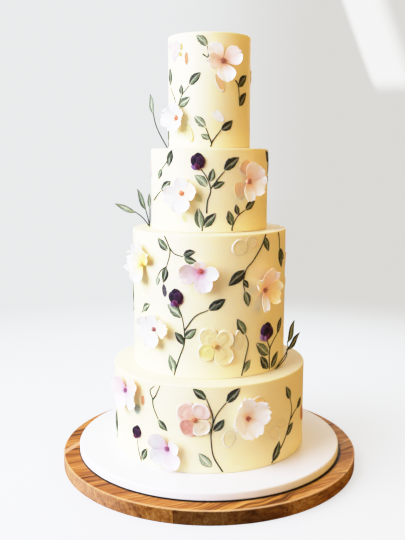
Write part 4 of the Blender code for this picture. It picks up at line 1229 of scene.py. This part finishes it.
def add_heart(bm, level, throat, dome, dots, dice):
    """A dome with beads round and on it."""
    base = Vector((0, 0, level))
    for vert in add_ball(bm, base, DOME_RADIUS, DOME_FLATNESS, dome):
        vert.co += (vert.co - base).normalized() * noise.noise(vert.co * 900) * DOME_GRAIN
    for vert in add_ball(bm, base * 0.5, THROAT_RADIUS, 0.9, throat):
        vert.co.z = max(vert.co.z, THROAT_FOOT)
    for bead in range(BEADS):
        turn = 2 * math.pi * bead / BEADS + dice.uniform(-0.2, 0.2)
        out = DOME_RADIUS * dice.uniform(0.75, 1.25)
        tip = base + Vector((out * math.cos(turn), out * math.sin(turn), dice.uniform(1.1, 2.2) * MM))
        add_thread(bm, base + (tip - base) * 0.3 - Vector((0, 0, MM)), tip, dome)
        add_ball(bm, tip, BEAD_RADIUS, 1, dots)
    add_ball(bm, base + Vector((0, 0, TOP_BEAD_LIFT)), TOP_BEAD_RADIUS, 0.7, dots)


for seed, (name, (place, heart, *_)) in enumerate(FLOWERS.items()):
    bm = new_relief()
    add_heart(bm, PETAL_FOOT + DOME_LIFT, *HEARTS[heart][:3], random.Random(seed))
    bmesh.ops.transform(bm, matrix=flower_place(*place), verts=bm.verts)
    new_piece(name.replace("flower", "heart"), bm, SUGAR_PASTE, "sugar_petal")

# %% Hearts of the flat flowers
FLAT_HEART_LEVEL = 2.6 * MM
FLAT_HEART_SEED = 40
DARK_DOTS = paint(70, 34, 18)
FLAT_HEARTS = {"flower_2e": "gold", "flower_1c": "orange", "flower_1f": "gold"}
for seed, (name, heart) in enumerate(FLAT_HEARTS.items()):
    tier, angle, height, _ = FLAT_FLOWERS[name]
    bm = new_relief()
    dice = random.Random(FLAT_HEART_SEED + seed)
    add_heart(bm, FLAT_HEART_LEVEL, *HEARTS[heart][:2], DARK_DOTS, dice)
    wrap(bm.verts, tier, angle, height * MM)
    new_piece(name.replace("flower", "heart"), bm, SUGAR_PASTE, "piped_petal")

# %% [markdown]
# ## Pansy buds
# Half-open pansies are dark, plump and small: three velvety upper petals, a mauve and a magenta one
# behind them, and a bright lip with a pale line. They are pressed with thick icing, so each petal is
# a domed swipe.

# %% Press the buds
PLUM, NIGHT, VIOLET = paint(48, 15, 44), paint(20, 5, 20), paint(86, 44, 92)
MAGENTA, MAUVE, LINE = paint(94, 24, 66), paint(116, 80, 134), paint(222, 166, 204)
# Petals of a bud in millimetres: foot x, y, heading, length, width, height, body, rim.
BUD_PETALS = (
    (0.5, -7.5, -62, 9.5, 6.5, 3.0, MAUVE, LINE), (-0.5, -7.0, 62, 8, 5, 2.6, MAGENTA, LINE),
    (0.4, -6.0, 2, 15.0, 12.0, 3.8, NIGHT, PLUM), (1.2, -7.5, -22, 15.5, 11.5, 4.8, NIGHT, VIOLET),
    (-1.2, -8, 24, 15, 11, 5.4, PLUM, VIOLET), (0.2, -9.2, -16, 9.5, 7, 5.6, MAGENTA, LINE),
)
# Tier, angle, height, heading of the crown, and size against a full bud.
BUDS = {
    "bud_3a": (3, -11, 87, -8, 1), "bud_2a": (2, -24, 101, -18, 1.08), "bud_2b": (2, 45, 53, 6, 1.18),
    "bud_1a": (1, -45, 39, -6, 0.82), "bud_4b": (4, 137, 93, 12, 1), "bud_2c": (2, -146, 66, -10, 1),
    "bud_1b": (1, -143, 39, 8, 1),
}
BUD_STEPS = (12, 10)
BUD_GROWTH = 1.2


def add_bud_petal(bm, spec, seed):
    """A domed swipe of dark icing."""
    x, y, heading, length, width, height, body, rim = spec
    tint = bm.verts.layers.float_color["tint"]
    made, shares = grid_patch(bm, BUD_STEPS)
    for vert, (along, across) in zip(made, shares):
        spread = fullness(along, 1.15) ** 0.6
        dome = (spread * (1 - across ** 4)) ** 0.6
        scratch = 1 + 0.2 * noise.noise(Vector((along * 2, across * 6, seed)))
        vert.co = Vector((along * length, across * spread * width / 2, height * dome * scratch - 0.3)) * MM
        vert[tint] = blended(body, rim, (nearness(along, across) - 0.45) * 1.1)
    made = close_beneath(bm, made, RELIEF_ROOT)
    place = Matrix.Translation(Vector((x, y, 0)) * MM) @ heading_turn(heading)
    bmesh.ops.transform(bm, matrix=place, verts=made)


for seed, (name, (tier, angle, height, crown, size)) in enumerate(BUDS.items()):
    bm = new_relief()
    for index, petal in enumerate(BUD_PETALS):
        add_bud_petal(bm, petal, seed * 7 + index)
    bmesh.ops.scale(bm, verts=bm.verts, vec=(size * BUD_GROWTH, size * BUD_GROWTH, 1))
    bmesh.ops.rotate(bm, verts=bm.verts, matrix=Matrix.Rotation(math.radians(-crown), 3, "Z"))
    wrap(bm.verts, tier, angle, height * MM)
    new_piece(name.replace("bud", "pansy"), bm, VELVET_PASTE, "pansy_bud", stands_for=[name])

# %% [markdown]
# ## Wired sprays
# A few leaves leave the wall and stand on the ledges, on wires. They are thin sugar blades: a grid
# patch pinched to a leaf, waved along its length, and given its thickness by Solidify.

# %% Stand the sprays on the ledges
WIRE_RADIUS = 0.75 * MM
# In millimetres: how high a spray's first wire starts, and how much higher each next one.
WIRE_FOOT = 0.9
WIRE_STAGGER = 0.3
WIRE_TAPER = 0.2
BLADE_THICKNESS = 0.6 * MM
BLADE_SLIMNESS = 0.25
BLADE_STEPS = (16, 8)
# Tier, the foot's angle and distance off the wall, stems, and leaves with their paleness.
# A point is angle, height and distance off the wall.
SPRAYS = {
    "spray_4": (4, -86, 2, [[(-87, 17, 11), (-87, 31, 17), (-86, 45, 20)]],
                [((-86, 44, 20), (-86, 70, 24), 0.72)]),
    "spray_3": (3, -86, 3, [[(-85, 13, 12), (-84, 21, 22)], [(-84, 12, 5), (-85, 24, 8)],
                            [(-82, 14, 2.5), (-81, 27, 2.5)]],
                [((-84, 20, 21), (-83, 32, 49), 0.8), ((-85, 23, 7.5), (-86, 51, 19), 0.5),
                 ((-81, 26, 2.5), (-79, 46, 4), 0.55)]),
    "spray_2": (2, 55, 3.4, [[(63, 5, 4.6), (72, 10, 6), (80, 16, 5)], [(78, 14, 5.5), (82, 25, 5)]],
                [((82, 23, 5), (88, 53, 15), 0.42), ((80, 14, 5), (88, 36, 23), 0.22)]),
    "spray_3_back": (3, 131, 2, [[(129, 14, 8), (128, 26, 14)], [(135, 14, 6), (137, 26, 8)]],
                     [((128, 25, 14), (127, 50, 21), 0.5), ((137, 25, 8), (139, 48, 12), 0.35)]),
    "spray_2_back": (2, -126, 2, [[(-130, 10, 5), (-134, 20, 8)], [(-124, 12, 5), (-124, 22, 8)]],
                     [((-134, 19, 8), (-139, 42, 14), 0.5), ((-124, 21, 8), (-122, 46, 15), 0.62)]),
}


def add_blade(bm, base, tip, pale):
    """A thin wavy leaf that stands free, from its base to its tip."""
    length = (tip - base).length
    half = length * BLADE_SLIMNESS / 2
    made, shares = grid_patch(bm, BLADE_STEPS)
    for vert, (along, across) in zip(made, shares):
        spread = fullness(along, 0.85)
        wave = 0.05 * length * math.sin(2 * math.pi * along) + 0.24 * half * abs(across) * spread
        ragged = ragged_edge(along, across, 0.12, 7, length * 999)
        vert.co = Vector((along * length, across * spread * half * ragged, wave))
        vert[bm.verts.layers.float["paleness"]] = pale
    made = merge_ends(bm, made)
    ahead = (tip - base).normalized()
    outward = Vector((base.x, base.y, 0)).normalized()
    across_way = Vector((0, -1, 0)).lerp(outward, 0.3).cross(ahead).normalized()
    frame_turn = Matrix((ahead, across_way, ahead.cross(across_way))).transposed().to_4x4()
    bmesh.ops.transform(bm, matrix=Matrix.Translation(base) @ frame_turn, verts=made)


for name, (tier, foot_angle, foot_out, stems, leaves) in SPRAYS.items():
    wires = bmesh.new()
    for index, stem in enumerate(stems):
        foot = (foot_angle, WIRE_FOOT + index * WIRE_STAGGER, foot_out)
        path = [wall_point(tier, angle, height * MM, out * MM) for angle, height, out in [foot] + stem]
        add_bar(wires, smooth_path(path, CURVE_STEPS), WIRE_RADIUS, WIRE_TAPER)
    new_piece(name.replace("spray", "wire"), wires, STEM_PAINT, "spray_leaf", stands_for=[name])
    blades = new_relief()
    for first, second, pale in leaves:
        ends = [wall_point(tier, angle, height * MM, out * MM) for angle, height, out in (first, second)]
        add_blade(blades, *ends, pale)
    piece = new_piece(name.replace("spray", "blades"), blades, LEAF_PAINT, "spray_leaf", closed=False)
    thicken_and_round(piece, BLADE_THICKNESS)

# %% [markdown]
# ## The stage
# The cake stands on a plain pale floor that fades into a pale room. One large soft light from the
# left does most of the work and nearly bleaches that side, a weak warm one from the right keeps the
# far side golden, and a small one behind clears the rims.

# %% The floor
ROOM = (0.93, 0.955, 0.965, 1)
# The right side's duller, warmer colour is painted shade.
ROOM_RIGHT = (0.745, 0.73, 0.70, 1)
ROOM_CHANGE = (-0.06, 0.16)
# High on the right a slanting beam of light lies on the wall: its colour, its slant, and where its
# left side, its softer right side and its lower end fade in.
BEAM = (1.25, 1.26, 1.24, 1)
BEAM_SLANT = 2.34
BEAM_LEFT = (0.612, 0.636)
BEAM_RIGHT = (0.765, 0.700)
BEAM_FOOT = (0.080, 0.106)
FLOOR_RADIUS = 6.0
# The floor's own glow near the cake, where it turns into the colour of the room, where it takes
# over from the light that falls on the floor, and its share right at the cake.
NEAR_GLOW = (1.25, 1.35, 1.40, 1)
GLOW_FADE = (0.35, 1.2)
TAKES_OVER = (0.25, 1.1)
GLOW_SHARE = 0.45
FLOOR_WHITE, FLOOR_DRIFT = paint(246, 247, 248), paint(244, 244, 244)
# What the cake gets back from the floor, so that no bright light comes up from under it.
FLOOR_THROWN_BACK = (0.16, 0.15, 0.13, 1)


def room_tone(tree, direction):
    """The pale room, with painted shade that makes its right side a little duller and warmer, and its beam of
    light.
    """
    way = add_node(tree, "SeparateXYZ", {"Vector": direction}).outputs
    wall = mixed(tree, smooth(tree, way["X"], *ROOM_CHANGE), ROOM, ROOM_RIGHT)
    across = maths(tree, "MULTIPLY_ADD", way["X"], BEAM_SLANT, way["Z"])
    beam = times(tree, smooth(tree, across, *BEAM_LEFT), smooth(tree, across, *BEAM_RIGHT))
    beam = times(tree, beam, smooth(tree, way["Z"], *BEAM_FOOT))
    return mixed(tree, beam, wall, BEAM)


def floor_finish():
    """White near the cake, and the colour of the room far from it. It throws little light back."""
    made = bpy.data.materials.new("Pale floor")
    made.use_nodes = True
    tree = made.node_tree
    shader = tree.nodes["Principled BSDF"]
    shader.inputs["Roughness"].default_value = 0.75
    place = add_node(tree, "TexCoord").outputs["Object"]
    far = add_node(tree, "VectorMath", {0: place}, operation="LENGTH").outputs["Value"]
    tones = use_group(tree, TWO_TONE, Place=place, Size=3, First=FLOOR_WHITE, Second=FLOOR_DRIFT)
    tree.links.new(tones["Colour"], shader.inputs["Base Color"])
    lit = smooth(tree, far, *GLOW_FADE)
    outward = add_node(tree, "VectorMath", {0: place}, operation="NORMALIZE").outputs["Vector"]
    shade = mixed(tree, lit, NEAR_GLOW, room_tone(tree, outward))
    glow = add_node(tree, "Emission", {"Color": shade}).outputs["Emission"]
    limits = {"Value": far, "From Min": TAKES_OVER[0], "From Max": TAKES_OVER[1], "To Min": GLOW_SHARE}
    fade = add_node(tree, "MapRange", limits).outputs["Result"]
    shown = add_node(tree, "MixShader", {0: fade, 1: shader.outputs["BSDF"], 2: glow})
    dull = add_node(tree, "BsdfDiffuse", {"Color": FLOOR_THROWN_BACK}).outputs["BSDF"]
    seen = add_node(tree, "LightPath").outputs["Is Camera Ray"]
    blend = add_node(tree, "MixShader", {0: seen, 1: dull, 2: shown.outputs["Shader"]}).outputs["Shader"]
    tree.links.new(blend, tree.nodes["Material Output"].inputs["Surface"])
    return made


bm = bmesh.new()
bmesh.ops.create_circle(bm, cap_ends=True, segments=96, radius=FLOOR_RADIUS)
floor_mesh = bpy.data.meshes.new("floor")
bm.to_mesh(floor_mesh)
bm.free()
floor_mesh.materials.append(floor_finish())
floor = bpy.data.objects.new("floor", floor_mesh)
bpy.context.scene.collection.objects.link(floor)


# %% The room's light
# Light from all round, from the left side to the right one.
AMBIENT = [(0.0, (1.55, 1.64, 1.95, 1)), (0.30, (0.85, 0.90, 1.08, 1)),
           (0.52, (0.16, 0.15, 0.14, 1)), (1.0, (0.30, 0.17, 0.05, 1))]


def room_light():
    """Pale to the camera; to the cake, cool from the left and warm and dim from the right."""
    world = bpy.data.worlds.new("Pale room")
    bpy.context.scene.world = world
    world.use_nodes = True
    tree = world.node_tree
    backdrop = tree.nodes["Background"]
    way = add_node(tree, "TexCoord").outputs["Generated"]
    side = add_node(tree, "SeparateXYZ", {"Vector": way})
    share = maths(tree, "MULTIPLY_ADD", side.outputs["X"], 0.5, 0.5)
    ambient = ramp(tree, share, AMBIENT)
    seen = add_node(tree, "LightPath").outputs["Is Camera Ray"]
    tree.links.new(mixed(tree, seen, ambient, room_tone(tree, way)), backdrop.inputs["Color"])
    backdrop.inputs["Strength"].default_value = 1.0


# Name, place, size, power and colour.
LIGHTS = (
    ("window", (-1.72, -0.84, 1.20), 1.9, 93, (0.95, 1.0, 1.26)),
    ("warm fill", (1.66, -0.86, 0.72), 2.0, 26, (1.0, 0.57, 0.09)),
    ("back fill", (0.7, 1.9, 1.1), 1.2, 10, (1.0, 0.97, 0.92)),
)
MIDDLE = (0, 0, 0.30)


def add_light(name, place, size, power, colour):
    """A soft square light that looks at the middle of the cake."""
    lamp = bpy.data.lights.new(name, "AREA")
    lamp.size = size
    lamp.energy = power
    lamp.color = colour
    thing = bpy.data.objects.new(name, lamp)
    bpy.context.scene.collection.objects.link(thing)
    thing.location = place
    thing.rotation_euler = (Vector(MIDDLE) - Vector(place)).to_track_quat("-Z", "Y").to_euler()


room_light()
for light in LIGHTS:
    add_light(*light)

# %% The camera
CAMERA_PLACE = (-0.009, -0.9512, 0.4125)
LOOKING_DOWN = 9.017
LENS = 47.57
camera = bpy.data.objects.new("camera", bpy.data.cameras.new("camera"))
bpy.context.scene.collection.objects.link(camera)
camera.location = CAMERA_PLACE
camera.rotation_euler = (math.radians(90 - LOOKING_DOWN), 0, 0)
camera.data.lens = LENS
camera.data.sensor_width = 36
camera.data.clip_start = 0.05
bpy.context.scene.camera = camera

# %% [markdown]
# ## A soft shoulder for the highlights
# A camera doesn't cut bright light off at white: it bends it over, one colour at a time, so that
# bright yellow icing turns to cream and then to white. Blender's standard view cuts it off, so a
# curve does the bending: dark and middle values stay as they are, and light up to three times
# white is folded into the top of the scale.

# %% Bend the highlights over
BRIGHTEST = 3.0
ALL_COLOURS = 3
# Light that arrives, and light that is shown.
SHOULDER = ((0.3, 0.3), (0.6, 0.59), (0.8, 0.745), (1.0, 0.845), (1.3, 0.915), (1.7, 0.96), (2.3, 0.99))
view = bpy.context.scene.view_settings
view.view_transform = "Standard"
view.use_curve_mapping = True
view.curve_mapping.white_level = (BRIGHTEST, BRIGHTEST, BRIGHTEST)
shoulder = view.curve_mapping.curves[ALL_COLOURS]
for arrives, shown in SHOULDER:
    shoulder.points.new(arrives / BRIGHTEST, shown)
shoulder.points[0].handle_type = "VECTOR"
shoulder.points[1].handle_type = "VECTOR"
view.curve_mapping.update()
print("light of 1.0 is shown as", round(view.curve_mapping.evaluate(shoulder, 1 / BRIGHTEST), 3))
